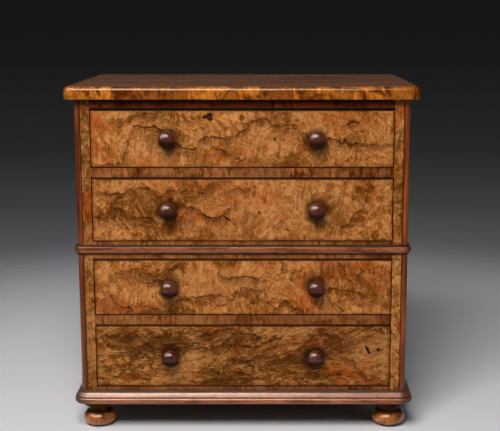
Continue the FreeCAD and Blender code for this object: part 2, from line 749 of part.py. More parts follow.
def write_parts(parts):
    """One STEP file per node, in parts/."""
    os.makedirs("parts", exist_ok=True)
    for name, shape in sorted(parts.items()):
        solids = shape if isinstance(shape, list) else [shape]
        solids = [solid for piece in solids for solid in piece.Solids]
        whole = solids[0] if len(solids) == 1 else Part.makeCompound(solids)
        whole.exportStep("parts/" + name + ".step")
        volume = sum(solid.Volume for solid in solids)
        print(name, len(solids), "solid(s)", round(volume, 1), "mm3")


write_parts(chest())
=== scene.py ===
"""Looks of a table-top chest of four drawers in burr walnut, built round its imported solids.

Lengths are in metres. X runs to the right, Y to the back and Z up, with the origin on the floor.
Laid out as an add-on: each operator makes one piece, or one group of like pieces.
"""

import math

import bpy
import numpy as np
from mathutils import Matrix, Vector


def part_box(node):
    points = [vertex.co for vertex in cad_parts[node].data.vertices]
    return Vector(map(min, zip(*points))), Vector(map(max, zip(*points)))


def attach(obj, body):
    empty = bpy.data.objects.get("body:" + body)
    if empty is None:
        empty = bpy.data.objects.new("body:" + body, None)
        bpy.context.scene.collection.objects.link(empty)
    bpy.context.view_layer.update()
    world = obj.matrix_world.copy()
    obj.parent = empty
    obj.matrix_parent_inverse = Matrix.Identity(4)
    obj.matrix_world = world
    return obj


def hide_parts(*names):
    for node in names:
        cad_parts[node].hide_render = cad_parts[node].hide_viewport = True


bl_info = {
    "name": "Burr Walnut Chest",
    "version": (1, 0, 0),
    "blender": (4, 5, 0),
    "location": "View3D > Sidebar > Chest",
    "description": "Finishes and shaped pieces of a table-top chest of four drawers",
    "category": "Object",
}

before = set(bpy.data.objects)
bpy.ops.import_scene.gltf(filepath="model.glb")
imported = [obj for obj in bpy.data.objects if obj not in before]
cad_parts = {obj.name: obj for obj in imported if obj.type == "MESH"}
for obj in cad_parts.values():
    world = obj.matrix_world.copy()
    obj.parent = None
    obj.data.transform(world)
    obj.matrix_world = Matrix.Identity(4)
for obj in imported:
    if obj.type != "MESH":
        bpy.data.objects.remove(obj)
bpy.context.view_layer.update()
MM = 0.001
DRAWERS = ("drawer_1", "drawer_2", "drawer_3", "drawer_4")
HANDS = ("left", "right")
CORNER_ROUND = 6.5 * MM         # radius of the carcase's two front corners
MACHINED = 0.6                  # share of the unevenness that scraped mouldings keep

# Tint that amber shellac gives to highlights, over sound wood and over old dark wood
SHELLAC = (1.0, 0.77, 0.62, 1.0)
OLD_SHELLAC = (1.0, 0.50, 0.20, 1.0)

# Course of the dark figure lines on each drawer front, in percent of its width and height
FIGURE_LINES = {
    "drawer_1": [
        ((0, 2), (4, 3), (7, 6), (10, 16), (11, 25), (12, 41), (13, 53), (14, 65), (16, 72),
         (18, 70), (21, 71), (24, 61), (28, 42), (30, 39), (33, 31), (35, 34), (36, 45), (38, 50),
         (44, 53), (47, 52)),
        ((47, 52), (49, 61), (51, 70), (53, 77), (56, 82), (58, 83), (60, 74), (64, 72), (68, 74),
         (69, 66), (71, 55), (78, 52), (83, 46), (91, 43), (100, 40)),
        ((83, 61), (84, 75), (86, 79), (88, 75), (89, 68)),
        ((13, 80), (14, 91), (19, 96), (22, 94), (25, 98)),
        ((40, 34), (44, 28), (47, 20), (50, 10), (51, 2)),
    ],
    "drawer_2": [
        ((0, 81), (5, 76), (8, 77), (13, 81), (16, 84), (19, 83), (21, 76), (22, 73), (24, 78),
         (27, 81), (31, 79), (33, 90), (35, 99)),
        ((0, 63), (2, 57), (4, 47), (6, 57), (9, 71), (11, 77)),
        ((34, 99), (35, 83), (37, 76), (38, 87), (41, 97), (45, 96), (48, 99)),
        ((28, 60), (31, 55), (35, 52), (39, 38), (41, 36), (45, 51), (47, 57)),
        ((0, 38), (4, 37), (6, 44), (9, 51), (12, 46), (16, 38), (21, 32)),
        ((82, 12), (83, 19), (85, 27), (87, 41), (90, 54), (91, 65), (92, 70)),
        ((90, 99), (92, 93), (94, 87), (95, 76)),
        ((45, 78), (48, 83), (51, 81), (54, 90), (56, 95)),
    ],
    "drawer_3": [
        ((7, 88), (8, 80), (11, 78), (14, 82), (16, 77), (20, 75), (23, 79), (25, 86), (28, 93),
         (31, 94)),
        ((14, 75), (15, 64), (17, 62), (21, 64), (24, 71)),
        ((27, 19), (30, 28), (36, 30), (39, 33), (41, 37), (44, 35), (46, 28), (47, 41), (51, 45),
         (55, 47), (57, 43)),
        ((4, 32), (7, 26), (9, 14), (11, 10), (13, 1)),
        ((13, 1), (16, 4), (20, 12), (23, 9), (26, 6), (28, 14)),
        ((41, 77), (43, 70), (46, 66), (50, 70), (54, 64), (56, 51)),
        ((58, 41), (62, 15), (64, 24), (66, 14), (69, 10), (72, 8)),
        ((78, 42), (81, 48), (84, 44), (86, 45), (90, 41), (92, 35)),
        ((81, 30), (82, 19), (85, 4)),
        ((81, 98), (83, 88), (85, 77), (86, 62), (89, 73), (92, 88)),
    ],
    "drawer_4": [
        ((1, 86), (6, 84), (10, 86), (13, 92), (15, 99)),
        ((10, 66), (13, 64), (17, 68), (20, 59), (21, 49), (23, 42)),
        ((9, 27), (11, 37), (13, 54), (16, 52), (18, 45), (20, 32), (23, 30), (25, 36)),
        ((29, 66), (33, 65), (37, 63), (41, 65), (45, 64), (48, 68), (53, 65), (56, 68), (58, 74),
         (62, 78), (64, 91)),
        ((33, 84), (38, 86), (42, 91), (45, 94), (51, 86), (56, 81), (57, 89)),
        ((34, 24), (38, 29), (41, 24), (44, 37), (47, 48), (51, 43), (55, 51), (58, 61), (62, 66),
         (66, 74)),
        ((77, 91), (81, 84), (83, 74), (84, 51), (88, 36), (92, 19), (95, 6)),
        ((41, 6), (44, 19), (47, 24), (52, 19), (56, 25)),
        ((58, 32), (62, 45), (66, 51), (69, 65), (73, 74)),
    ],
}

# Soft clouds of darker or paler wood: centre and half size in percent, and strength
CLOUDS = {
    "drawer_1": [(20, 26, 9, 30, -0.5), (57, 42, 9, 24, -0.35), (62, 84, 12, 14, 0.45),
                 (60, 10, 9, 12, 0.5), (18, 90, 9, 12, 0.4), (92, 55, 10, 40, -0.15)],
    "drawer_2": [(21, 58, 11, 26, 0.32), (8, 40, 9, 18, 0.25), (66, 55, 15, 34, -0.4),
                 (27, 25, 9, 14, 0.45), (86, 50, 8, 30, 0.2), (48, 50, 8, 30, -0.1)],
    "drawer_3": [(43, 60, 12, 18, -0.6), (12, 50, 9, 24, -0.3), (80, 80, 12, 18, 0.4),
                 (20, 8, 10, 12, 0.45), (5, 16, 6, 18, 0.4), (94, 50, 6, 40, 0.35)],
    "drawer_4": [(20, 66, 14, 26, 0.6), (44, 80, 12, 14, 0.5), (76, 60, 9, 34, 0.65),
                 (46, 5, 8, 14, 0.5), (94, 40, 9, 34, -0.4), (17, 40, 5, 12, -0.5),
                 (35, 50, 7, 14, -0.4), (64, 20, 12, 20, 0.3)],
}

# Small knots and bruises: centre in percent, half length and half width in mm, turn in degrees
MARKS = {
    "drawer_1": [(37.9, 88, 3.6, 2.2, 8), (39.3, 91.0, 3.0, 2.9, 0), (39.5, 85.0, 3.2, 2.6, 0),
                 (60.8, 49, 2.2, 1.2, 70), (71.8, 20, 1.3, 0.6, 60)],
    "drawer_2": [(44.9, 35.5, 4.6, 1.3, -42), (40.5, 31.7, 1.0, 1.0, 0), (55.6, 46, 2.2, 1.0, -60),
                 (65.1, 17.5, 1.7, 0.8, -35)],
    "drawer_3": [(31.6, 55, 1.7, 0.7, 30), (19.3, 33.3, 1.6, 0.6, 85), (59.0, 62.3, 1.1, 0.6, 40)],
    "drawer_4": [(92.4, 59.7, 6.4, 1.6, -62), (96.1, 59.7, 2.2, 1.6, 20),
                 (70.3, 12.1, 1.4, 1.1, 0)],
}

# Character of the burr: the upper fronts are cloudy, and the lowest flows on a slant
CLOUDY_FIGURE = {"vein": 0.5, "drawn": (0.9, 1.0, 1.05), "line_tone": 1.15, "contrast": 1.3}
FLOWING_FIGURE = {"vein": 1.4, "drawn": (0.62, 1.0, 1.35), "line_tone": 1.1, "contrast": 1.5,
                  "slants": (70, 40, -36)}


# ---- Shader building ----

class Socket:
    """A shader output that takes part in sums. Each operator adds its Math node."""

    def __init__(self, finish, output):
        self.finish = finish
        self.output = output

    def math(self, operation, *others):
        return self.finish.math(operation, self, *others)

    def __add__(self, other):
        return self.math("ADD", other)

    def __radd__(self, other):
        return self.finish.math("ADD", other, self)

    def __sub__(self, other):
        return self.math("SUBTRACT", other)

    def __rsub__(self, other):
        return self.finish.math("SUBTRACT", other, self)

    def __mul__(self, other):
        return self.math("MULTIPLY", other)

    def __rmul__(self, other):
        return self.finish.math("MULTIPLY", other, self)

    def __truediv__(self, other):
        return self.math("DIVIDE", other)

    def __rtruediv__(self, other):
        return self.finish.math("DIVIDE", other, self)

    def __pow__(self, other):
        return self.math("POWER", other)

    def __abs__(self):
        return self.math("ABSOLUTE")


class Finish:
    """A material, and the nodes that work out how its surface changes from place to place."""

    def __init__(self, name, tree=None):
        if tree is None:
            self.material = bpy.data.materials.new(name)
            self.material.use_nodes = True
            tree = self.material.node_tree
        self.tree = tree
        self.tree.nodes.clear()

    def node(self, kind, settings=None, inputs=None, output=0):
        """Adds a node: its settings first, then the values or links of its sockets."""
        made = self.tree.nodes.new(kind)
        for key, value in (settings or {}).items():
            if key == "stops":
                self.set_stops(made.color_ramp, value)
            elif key == "course":
                self.set_course(made.mapping, value)
            else:
                setattr(made, key, value)
        for key, value in (inputs or {}).items():
            if isinstance(value, Socket):
                self.tree.links.new(value.output, made.inputs[key])
            elif value is not None:
                made.inputs[key].default_value = value
        return Socket(self, made.outputs[output]) if made.outputs else made

    @staticmethod
    def set_stops(ramp, stops):
        while len(ramp.elements) < len(stops):
            ramp.elements.new(0.5)
        for element, (place, colour) in zip(ramp.elements, stops):
            element.position = place
            element.color = (*colour, 1.0)

    @staticmethod
    def set_course(mapping, points):
        curve = mapping.curves[0]
        while len(curve.points) < len(points):
            curve.points.new(0.5, 0.5)
        for point, place in zip(curve.points, points):
            point.location = place
            point.handle_type = "AUTO"
        mapping.update()

    def math(self, operation, *values):
        return self.node("ShaderNodeMath", {"operation": operation}, dict(enumerate(values)))

    def vector(self, operation, first, second=None, scale=None):
        return self.node("ShaderNodeVectorMath", {"operation": operation},
                         {0: first, 1: second, 3: scale})

    def place(self, offset=(0, 0, 0), scale=(1, 1, 1)):
        """Object coordinates, in metres, moved and stretched."""
        where = self.node("ShaderNodeTexCoord", output=3)
        return self.node("ShaderNodeMapping", {"vector_type": "POINT"},
                         {0: where, 1: offset, 3: scale})

    def along_grain(self, axis, along, across):
        """Object coordinates, scaled by one number along the grain and another across it."""
        return self.joined(*[part * (along if key == axis else across)
                             for key, part in zip("xyz", self.axes(self.place()))])

    def axes(self, vector):
        made = self.node("ShaderNodeSeparateXYZ", inputs={0: vector}).output.node
        return [Socket(self, output) for output in made.outputs]

    def joined(self, x, y, z):
        return self.node("ShaderNodeCombineXYZ", inputs={0: x, 1: y, 2: z})

    def noise(self, vector, scale, detail=4.0, rough=0.55, bend=0.0, colour=False):
        return self.node("ShaderNodeTexNoise", {"noise_dimensions": "3D"},
                         {"Vector": vector, "Scale": scale, "Detail": detail,
                          "Roughness": rough, "Distortion": bend}, 1 if colour else 0)

    def step(self, value, low, high):
        """0 below low, 1 above high and a smooth rise between. High may be below low."""
        return self.node("ShaderNodeMapRange", {"interpolation_type": "SMOOTHSTEP"},
                         {0: value, 1: low, 2: high, 3: 0.0, 4: 1.0})

    def mix(self, share, first, second):
        first = (*first, 1.0) if isinstance(first, tuple) else first
        second = (*second, 1.0) if isinstance(second, tuple) else second
        return self.node("ShaderNodeMix", {"data_type": "RGBA", "clamp_factor": True},
                         {0: share, 6: first, 7: second}, 2)

    def stain(self, colour, value, low, high, share, tone):
        """Takes a share of another tone into the colour, as the value goes from low to high."""
        return self.mix(self.step(value, low, high) * share, colour, tone)

    def ramp(self, value, *stops):
        return self.node("ShaderNodeValToRGB", {"stops": stops}, {0: value})

    def cells(self, along, length):
        """Lengths of a strip: a random number for each, and how far off its ends are."""
        inputs = {"W": along / length, "Scale": 1.0, "Randomness": 0.8}
        tone = self.node("ShaderNodeTexVoronoi",
                         {"voronoi_dimensions": "1D", "feature": "F1"}, inputs, 1)
        edge = self.node("ShaderNodeTexVoronoi",
                         {"voronoi_dimensions": "1D", "feature": "DISTANCE_TO_EDGE"}, inputs)
        return self.axes(tone), edge * length

    def deepened(self, colour, middle, contrast):
        """Spreads tones about a middle tone: darks grow deeper and more saturated."""
        power = self.node("ShaderNodeGamma", inputs={0: colour, 1: contrast})
        return self.vector("SCALE", power, scale=middle[0] ** (1.0 - contrast))

    def shaded_bands(self, colour, z, shaded_heights):
        """Darkens bands of height, as painted shade and on mouldings also old polish: each starts,
        is full, is still full and ends. Gives the colour and how dull the surface is."""
        dull = 0.0
        for start, full, still, end in shaded_heights:
            band = self.step(z, start, full) * self.step(z, end, still)
            colour = self.mix(band * 0.88, colour, linear(18, 6, 1))
            dull = band + dull
        return colour, dull

    def polished(self, colour, roughness, bump, depth, coat=0.0, coat_roughness=0.1,
                 shine=0.5, tint=SHELLAC):
        """Wood under amber shellac, which warms its highlights."""
        normal = self.node("ShaderNodeBump", inputs={"Strength": 1.0, "Distance": depth,
                                                     "Height": bump})
        shader = self.node("ShaderNodeBsdfPrincipled", inputs={
            "Base Color": colour, "Roughness": roughness, "Normal": normal,
            "Specular IOR Level": shine, "Specular Tint": tint,
            "Coat Weight": coat, "Coat Roughness": coat_roughness})
        self.node("ShaderNodeOutputMaterial", inputs={"Surface": shader})
        return self.material


def linear(red, green, blue):
    """Scene-linear colour from the 0 to 255 numbers of a colour picker."""
    parts = np.array([red, green, blue]) / 255
    return tuple(float(v) for v in np.where(parts <= 0.04045, parts / 12.92,
                                            ((parts + 0.055) / 1.055) ** 2.4))


GAP_SHADE = linear(14, 5, 2)         # painted shade in the gaps round a drawer
GRIME_AND_SHADE = linear(24, 8, 3)        # dark of polish and dust in seams, and painted shade on the turned pieces


# ---- Finishes ----

def slanted(m, at, degrees, gap, length):
    """Short strokes: a noise drawn out along a slant from the upright."""
    turned = m.node("ShaderNodeMapping", {"vector_type": "TEXTURE"},
                    {0: at, 2: (0.0, math.radians(degrees), 0.0), 3: (gap, gap, length)})
    return m.noise(turned, 1.0, 3.0, 0.6)


def contoured(m, colour, field, cover, levels, strength, brown, dark):
    """Growth contours of a burr. At each level of the field the wood turns dark at once and
    clears slowly, with finer contours inside the dark part. Gives the colour and where the
    dark edges run."""
    phase = m.math("FRACT", field * levels)
    shade = m.step(phase, 0.75, 0.04) * m.step(phase, 0.0, 0.05) * cover
    fine = m.step(abs(m.math("FRACT", field * (levels * 4.0)) - 0.5), 0.24, 0.02)
    edge = m.step(abs(phase - 0.06), 0.07, 0.01) * cover
    colour = m.mix(shade * (0.62 * strength), colour, brown)
    colour = m.mix(shade * fine * (0.55 * strength), colour, dark)
    return m.mix(edge * (0.6 * strength), colour, dark), edge


def burr(name, golds, offset, lines=(), clouds=(), marks=(), face=None, knobs=(), vein=1.0,
         drawn=(1.0, 1.0, 1.0), line_tone=1.0, contrast=1.25, slants=(8, 38, -20)):
    """Burr veneer. Mottling from a warped noise carries olive and rusty clouds, growth contours
    at two sizes, hatching in three slants that take turns, pores, and the figure lines, clouds
    and knots that this piece of veneer has in named places."""
    m = Finish(name)
    here = m.place()
    at = m.place(offset=offset, scale=drawn)
    swirl = m.noise(at, 20.0, 6.0, 0.6, colour=True)
    shift = m.vector("SUBTRACT", swirl, (0.5, 0.5, 0.5))
    moved = m.vector("ADD", at, m.vector("SCALE", shift, scale=0.06))
    blotch = m.noise(moved, 28.0, 6.0, 0.62)
    small = m.noise(moved, 170.0, 4.0, 0.64, 0.5)
    pale, gold, brown, dark = golds
    olive, rust = linear(106, 72, 19), linear(156, 76, 22)
    colour = m.ramp(blotch * 0.55 + small * 0.45, (0.39, brown), (0.46, gold), (0.53, pale),
                    (0.61, gold))
    colour = m.stain(colour, m.noise(moved, 36.0, 5.0, 0.6, 0.6), 0.52, 0.64, 0.7, olive)
    colour = m.stain(colour, m.noise(at, 14.0, 4.0, 0.6, 0.4), 0.50, 0.62, 0.6, rust)
    tinge = m.noise(moved, 120.0, 4.0, 0.62, 0.5, colour=True)
    warm, light, green = m.axes(tinge)
    colour = m.stain(colour, warm, 0.52, 0.62, 0.4, rust)
    colour = m.stain(colour, green, 0.53, 0.63, 0.4, olive)
    colour = m.stain(colour, light, 0.52, 0.62, 0.45, pale)

    hole = 0.0
    if face is not None:
        low, high = face
        x, y, z = m.axes(here)
        width, height = high.x - low.x, high.z - low.z
        sway, wander, rise = m.axes(m.noise(here, 70.0, 7.0, 0.66, 0.4, colour=True))
        u = (x - low.x) / width + (sway - 0.5) * (0.020 / width)
        v = (z - low.z) / height + (rise - 0.5) * (0.020 / height)
        mottle = (blotch - 0.5) * 7.0 + (small - 0.5) * 6.0
        for cx, cz, rx, rz, strength in clouds:
            far = ((u - cx / 100) / (rx / 100)) ** 2.0 + ((v - cz / 100) / (rz / 100)) ** 2.0
            tint = linear(64, 27, 3) if strength > 0 else pale
            colour = m.stain(colour, far + mottle, 1.8, 0.1, abs(strength) * 0.75, tint)

    bent = m.vector("ADD", at, m.vector("SCALE", shift, scale=0.015))
    turn = m.noise(at, 16.0, 2.0)
    right, left = m.step(turn, 0.54, 0.60), m.step(turn, 0.47, 0.41)
    strokes = [slanted(m, bent, slant, 0.0021, 0.02) for slant in slants]
    hatch = m.mix(right, m.mix(left, strokes[0], strokes[1]), strokes[2])
    hair = m.mix(right, slanted(m, bent, slants[0] + 12, 0.0008, 0.010),
                 slanted(m, bent, slants[2] + 6, 0.0008, 0.010))
    colour = m.stain(colour, hatch, 0.52, 0.66, 0.52, brown)
    colour = m.stain(colour, hatch, 0.47, 0.36, 0.4, pale)
    colour = m.stain(colour, hair, 0.52, 0.68, 0.3, brown)

    field = m.noise(moved, 21.0, 8.0, 0.6, 0.3)
    cover = m.step(m.noise(at, 17.0, 4.0), 0.43, 0.55)
    colour, growth = contoured(m, colour, field, cover, 12.0, vein, olive, dark)
    colour = contoured(m, colour, m.noise(moved, 62.0, 6.0, 0.62, 0.4),
                       m.step(turn, 0.56, 0.46), 9.0, vein * vein * 0.35, brown, dark)[0]

    if face is not None:
        depth = m.step(m.noise(here, 48.0, 4.0), 0.36, 0.62)
        speckle = m.step(blotch * 0.5 + small * 0.5, 0.60, 0.44)
        for course in lines:
            start, end = course[0][0] / 100, course[-1][0] / 100
            centre = m.node("ShaderNodeFloatCurve",
                            {"course": [(px / 100, pz / 100) for px, pz in course]}, {1: u})
            off = (v - centre) * height
            window = m.step(u, start - 0.004, start + 0.02) * m.step(u, end + 0.004, end - 0.02)
            thick = 0.0005 + depth * 0.0009
            line = m.step(abs(off) / thick, 1.2, 0.1) * window
            side = m.step(off, -0.012, 0.0) * m.step(off, 0.0008, -0.0004) * window
            echo = m.step(abs(m.math("FRACT", off / 0.0030 + field * 4.0) - 0.5), 0.26, 0.02)
            colour = m.mix(side * (0.22 + speckle * 0.3), colour, linear(92, 50, 10))
            colour = m.mix(echo * side * 0.6, colour, dark)
            colour = m.mix(line * (0.28 + depth * 0.42) * line_tone, colour, dark)
        for kx, kz in knobs:
            dx, dz = x - kx, z - kz
            halo = m.math("SQRT", dx * dx + dz * dz) + (blotch - 0.5) * 0.02
            colour = m.stain(colour, halo, 0.0165, 0.0085, 0.72, linear(44, 17, 5))
        for cx, cz, length, breadth, degrees in marks:
            cosine, sine = math.cos(math.radians(degrees)), math.sin(math.radians(degrees))
            dx = x - (low.x + cx / 100 * width)
            dz = z - (low.z + cz / 100 * height)
            along = (dx * cosine + dz * sine) / (length * MM)
            over = (dz * cosine - dx * sine) / (breadth * MM)
            far = along ** 2.0 + over ** 2.0 + (wander - 0.5) * 1.6
            spot = m.step(far, 1.3, 0.55)
            colour = m.mix(spot * 0.94, colour, linear(34, 15, 8))
            hole = spot + hole
        # A darker border runs round the front, and the thin dark rim at its very edge is painted
        # shade that deepens the gap lines.
        edge = m.math("MINIMUM", m.math("MINIMUM", x - low.x, high.x - x),
                      m.math("MINIMUM", z - low.z, high.z - z))
        colour = m.mix(m.step(edge, 0.0035, 0.0006) * 0.45 * (0.3 + blotch), colour,
                       linear(84, 36, 6))
        colour = m.stain(colour, edge, 0.0007, 0.0002, 0.25, linear(70, 26, 4))
        # A pale line under the top edge: partly wear, partly a painted highlight where the arris
        # catches the light.
        worn = m.step(high.z - z, 0.0030, 0.0018) * m.step(m.noise(here, 40.0, 3.0), 0.40, 0.58)
        colour = m.mix(worn * 0.25, colour, linear(214, 158, 100))
        # Painted shade along the top edge, where the gap above the drawer lies dark.
        colour = m.stain(colour, high.z - z, 0.0016, 0.0009, 0.9, linear(20, 6, 1))
        # Painted shade on the veneer's edges inside the gaps, just behind its face.
        colour = m.stain(colour, y, low.y + 0.00035, low.y + 0.0006, 0.95, GAP_SHADE)

    pores = m.step(m.noise(here, 900.0, 2.0, 0.6), 0.62, 0.70)
    colour = m.mix(pores * 0.4, colour, dark)
    colour = m.deepened(colour, gold, contrast)
    roughness = 0.28 + m.noise(here, 48.0, 4.0) * 0.16 + pores * 0.15
    relief = m.noise(here, 26.0, 2.0) * 0.9 + hatch * 0.06 - pores * 0.12 - growth * 0.05
    relief = relief - hole * 0.8
    return m.polished(colour, roughness, relief, 0.00035, shine=0.3, tint=OLD_SHELLAC)


def crossbanded(name, tones, length, front, shaded_heights=()):
    """Rail veneered in short lengths across it. Each length has its own tone and slant, and
    the grain runs over the rail's width, so the strokes are drawn out upwards. Its edges in the
    drawer gaps, just behind the front, carry painted shade, and so do its shaded heights,
    each given by where the shade starts, is full, is still full and ends."""
    m = Finish(name)
    x, y, z = m.axes(m.place())
    sway = m.noise(m.place(), 45.0, 3.0)
    (red, green, blue), edge = m.cells(x + (sway - 0.5) * 0.006 + z * 0.23, length)
    bow = m.noise(m.place(), 30.0, 3.0, 0.5)
    u = x + z * ((green - 0.5) * 0.7) + (bow - 0.5) * 0.012
    fibre = m.noise(m.joined(u * 480.0, y * 480.0, z * 60.0), 1.0, 5.0, 0.64)
    band = m.noise(m.joined(u * 150.0, y * 60.0, z * 60.0), 1.0, 5.0, 0.66, 0.8)
    pale, gold, brown, dark = tones
    colour = m.ramp(band, (0.38, brown), (0.46, gold), (0.55, pale), (0.63, gold))
    colour = m.stain(colour, red, 0.35, 0.9, 0.5, brown)
    colour = m.stain(colour, blue, 0.4, 0.9, 0.4, pale)
    colour = m.stain(colour, fibre, 0.5, 0.64, 0.55, brown)
    streak = m.noise(m.joined(u * 300.0, 0.0, z * 45.0), 1.0, 4.0, 0.64)
    colour = m.stain(colour, streak, 0.58, 0.68, 0.6, dark)
    colour = m.stain(colour, edge, 0.0007, 0.0001, 0.45, dark)
    cloud = m.noise(m.place(offset=(0.7, 0, 0.2)), 42.0, 6.0, 0.66, 0.4)
    colour = m.stain(colour, cloud, 0.50, 0.62, 0.55, brown)
    # Painted shade on the rail's edges in the drawer gaps, just behind the front.
    gap = m.step(y, front + 0.0003, front + 0.0009) * m.step(y, front + 0.013, front + 0.005)
    colour = m.mix(gap * 0.95, colour, GAP_SHADE)
    colour = m.deepened(colour, gold, 1.2)
    colour, dull = m.shaded_bands(colour, z, shaded_heights)
    roughness = 0.27 + m.noise(m.place(), 60.0, 3.0) * 0.16 + dull * 0.3
    relief = fibre * 0.14 + m.noise(m.place(), 40.0, 2.0) * 0.6
    return m.polished(colour, roughness, relief, 0.0003, shine=0.3, tint=OLD_SHELLAC)


def straight_grain(name, tones, axis, across, along, rough, figure=0.5, shine=0.5, ray=0.0,
                   seam_at=None):
    """Wood with its grain along one axis: broad bands and fine fibres, both noises drawn out
    along the grain. The strongest fibres are dark, and rays are short pale flecks. A seam is a
    dark line at a distance from the middle, as where a corner post meets its stile."""
    m = Finish(name)
    bend = m.noise(m.place(), 12.0, 2.0)
    fibre = m.noise(m.along_grain(axis, along, across), 1.0, 5.0, 0.62)
    band = m.noise(m.along_grain(axis, 6.0, 70.0), 1.0, 5.0, 0.6, 0.9)
    pale, gold, brown, dark = tones
    colour = m.ramp(band * (0.6 + figure * 0.4) + bend * (0.4 - figure * 0.4),
                    (0.36, brown), (0.47, gold), (0.57, pale), (0.70, brown))
    colour = m.stain(colour, fibre, 0.45, 0.68, 0.55, brown)
    colour = m.stain(colour, fibre, 0.60, 0.72, 0.45, dark)
    if ray:
        flecks = m.noise(m.along_grain(axis, 90.0, 260.0), 1.0, 2.0)
        colour = m.stain(colour, flecks, 0.62, 0.75, ray, pale)
    if seam_at is not None:
        away = abs(m.axes(m.place())[0])
        colour = m.stain(colour, away, seam_at + 1.5 * MM, seam_at + 0.6 * MM, 0.8, GRIME_AND_SHADE)
    roughness = rough + m.noise(m.place(), 34.0, 4.0) * 0.18
    relief = fibre * 0.22 + m.noise(m.place(), 30.0, 2.0) * 0.5
    return m.polished(colour, roughness, relief, 0.0003, shine=shine)


def edging(name, tones, length, flat):
    """Cross-grain edging of the top, in short lengths: the strip's own map gives the distance
    along it and over its rounded face, so grain and seams follow it round the corners. Its flat
    upper side is toned like the top."""
    m = Finish(name)
    u, v = m.axes(m.node("ShaderNodeUVMap", {"uv_map": "Grain"}))[:2]
    sway = m.noise(m.joined(u, v, 0.0), 60.0, 3.0)
    (red, green, _), edge = m.cells(u + (sway - 0.5) * 0.002, length)
    w = u + v * ((green - 0.5) * 0.8)
    fibre = m.noise(m.joined(w * 520.0, v * 55.0, 0.0), 1.0, 4.0, 0.6)
    band = m.noise(m.joined(w * 75.0, v * 60.0, 0.4), 1.0, 5.0, 0.62, 0.8)
    pale, gold, brown, dark = tones
    colour = m.ramp(band, (0.39, brown), (0.46, gold), (0.53, pale), (0.62, gold))
    colour = m.stain(colour, red, 0.45, 0.85, 0.6, brown)
    colour = m.stain(colour, fibre, 0.5, 0.66, 0.5, brown)
    burrs = m.noise(m.joined(u * 0.6, v, 0.9), 110.0, 5.0, 0.65, 0.5)
    above = m.step(v, 0.0195, 0.0225)
    colour = m.stain(colour, burrs, 0.50, 0.60, 0.3 + above * 0.35, dark)
    colour = m.stain(colour, edge, 0.0008, 0.0001, 0.6, dark)
    colour = m.stain(colour, v, 0.0105, 0.0088, 0.8, dark)
    colour = m.deepened(colour, gold, 1.3)
    colour = m.stain(colour, v, 0.0240, 0.0268, 0.85, flat)
    roughness = 0.2 + m.noise(m.joined(u, v, 0.0), 70.0, 3.0) * 0.14
    relief = fibre * 0.1 + m.noise(m.joined(u, v, 0.0), 45.0, 2.0) * 0.7
    return m.polished(colour, roughness, relief, 0.0003, shine=0.6, tint=(1.0, 0.74, 0.46, 1.0))


def moulded(name, tones, shine, shaded_heights, corner):
    """Moulding with its grain along it, on the strip's own map of distance along and over. Old
    polish and painted shade darken its hollows, and painted shade, from a distance off the middle,
    its corners."""
    m = Finish(name)
    u, v = m.axes(m.node("ShaderNodeUVMap", {"uv_map": "Grain"}))[:2]
    x, _, z = m.axes(m.place())
    fibre = m.noise(m.joined(u * 45.0, v * 1500.0, 0.0), 1.0, 4.0, 0.62)
    band = m.noise(m.joined(u * 22.0, v * 260.0, 0.3), 1.0, 5.0, 0.6, 0.5)
    flake = m.noise(m.joined(u * 160.0, v * 520.0, 0.6), 1.0, 4.0, 0.6)
    pale, gold, brown, dark = tones
    colour = m.ramp(band, (0.36, brown), (0.45, gold), (0.56, pale), (0.70, gold))
    colour = m.stain(colour, fibre, 0.48, 0.70, 0.55, brown)
    colour = m.stain(colour, flake, 0.54, 0.66, 0.55, dark)
    colour, dull = m.shaded_bands(colour, z, shaded_heights)
    # Painted shade on the rounded corners, which turn away from the light.
    painted_corner_shade = m.step(abs(x), corner, corner + 0.008) * (0.4 + flake * 0.5)
    colour = m.mix(painted_corner_shade, colour, linear(34, 12, 5))
    roughness = 0.2 + flake * 0.16 + m.noise(m.place(), 50.0, 3.0) * 0.08
    roughness = roughness + painted_corner_shade * 0.2 + dull * 0.55
    relief = fibre * 0.16 + flake * 0.16 + m.noise(m.place(), 55.0, 2.0) * 0.4
    return m.polished(colour, roughness, relief, 0.0003, shine=shine)


def turned_wood(name, tones, axis, across, along, coat, coat_rough, shaded_heights):
    """Turned and polished wood: straight grain through the piece, crossed by faint tool rings.
    Between two heights it turns dark and dull: painted shade on the lower halves of the knobs
    and over the tops of the feet."""
    m = Finish(name)
    where = dict(zip("xyz", m.axes(m.place())))
    fibre = m.noise(m.along_grain(axis, along, across), 1.0, 5.0, 0.6)
    broad = m.noise(m.place(), 42.0, 4.0, 0.6, 0.5)
    pale, gold, brown, dark = tones
    colour = m.ramp(broad, (0.34, brown), (0.48, gold), (0.66, pale))
    colour = m.stain(colour, fibre, 0.42, 0.75, 0.55, dark)
    painted_shade = m.step(where["z"], *shaded_heights)
    colour = m.mix(painted_shade * 0.9, colour, GRIME_AND_SHADE)
    roughness = 0.3 + m.noise(m.place(), 90.0, 3.0) * 0.12
    rings = m.math("SINE", where[axis] * 5200.0)
    relief = fibre * 0.1 + rings * 0.02 + broad * 0.3
    return m.polished(colour, roughness, relief, 0.0002, coat=coat - painted_shade * coat,
                      coat_roughness=coat_rough, shine=0.15, tint=OLD_SHELLAC)


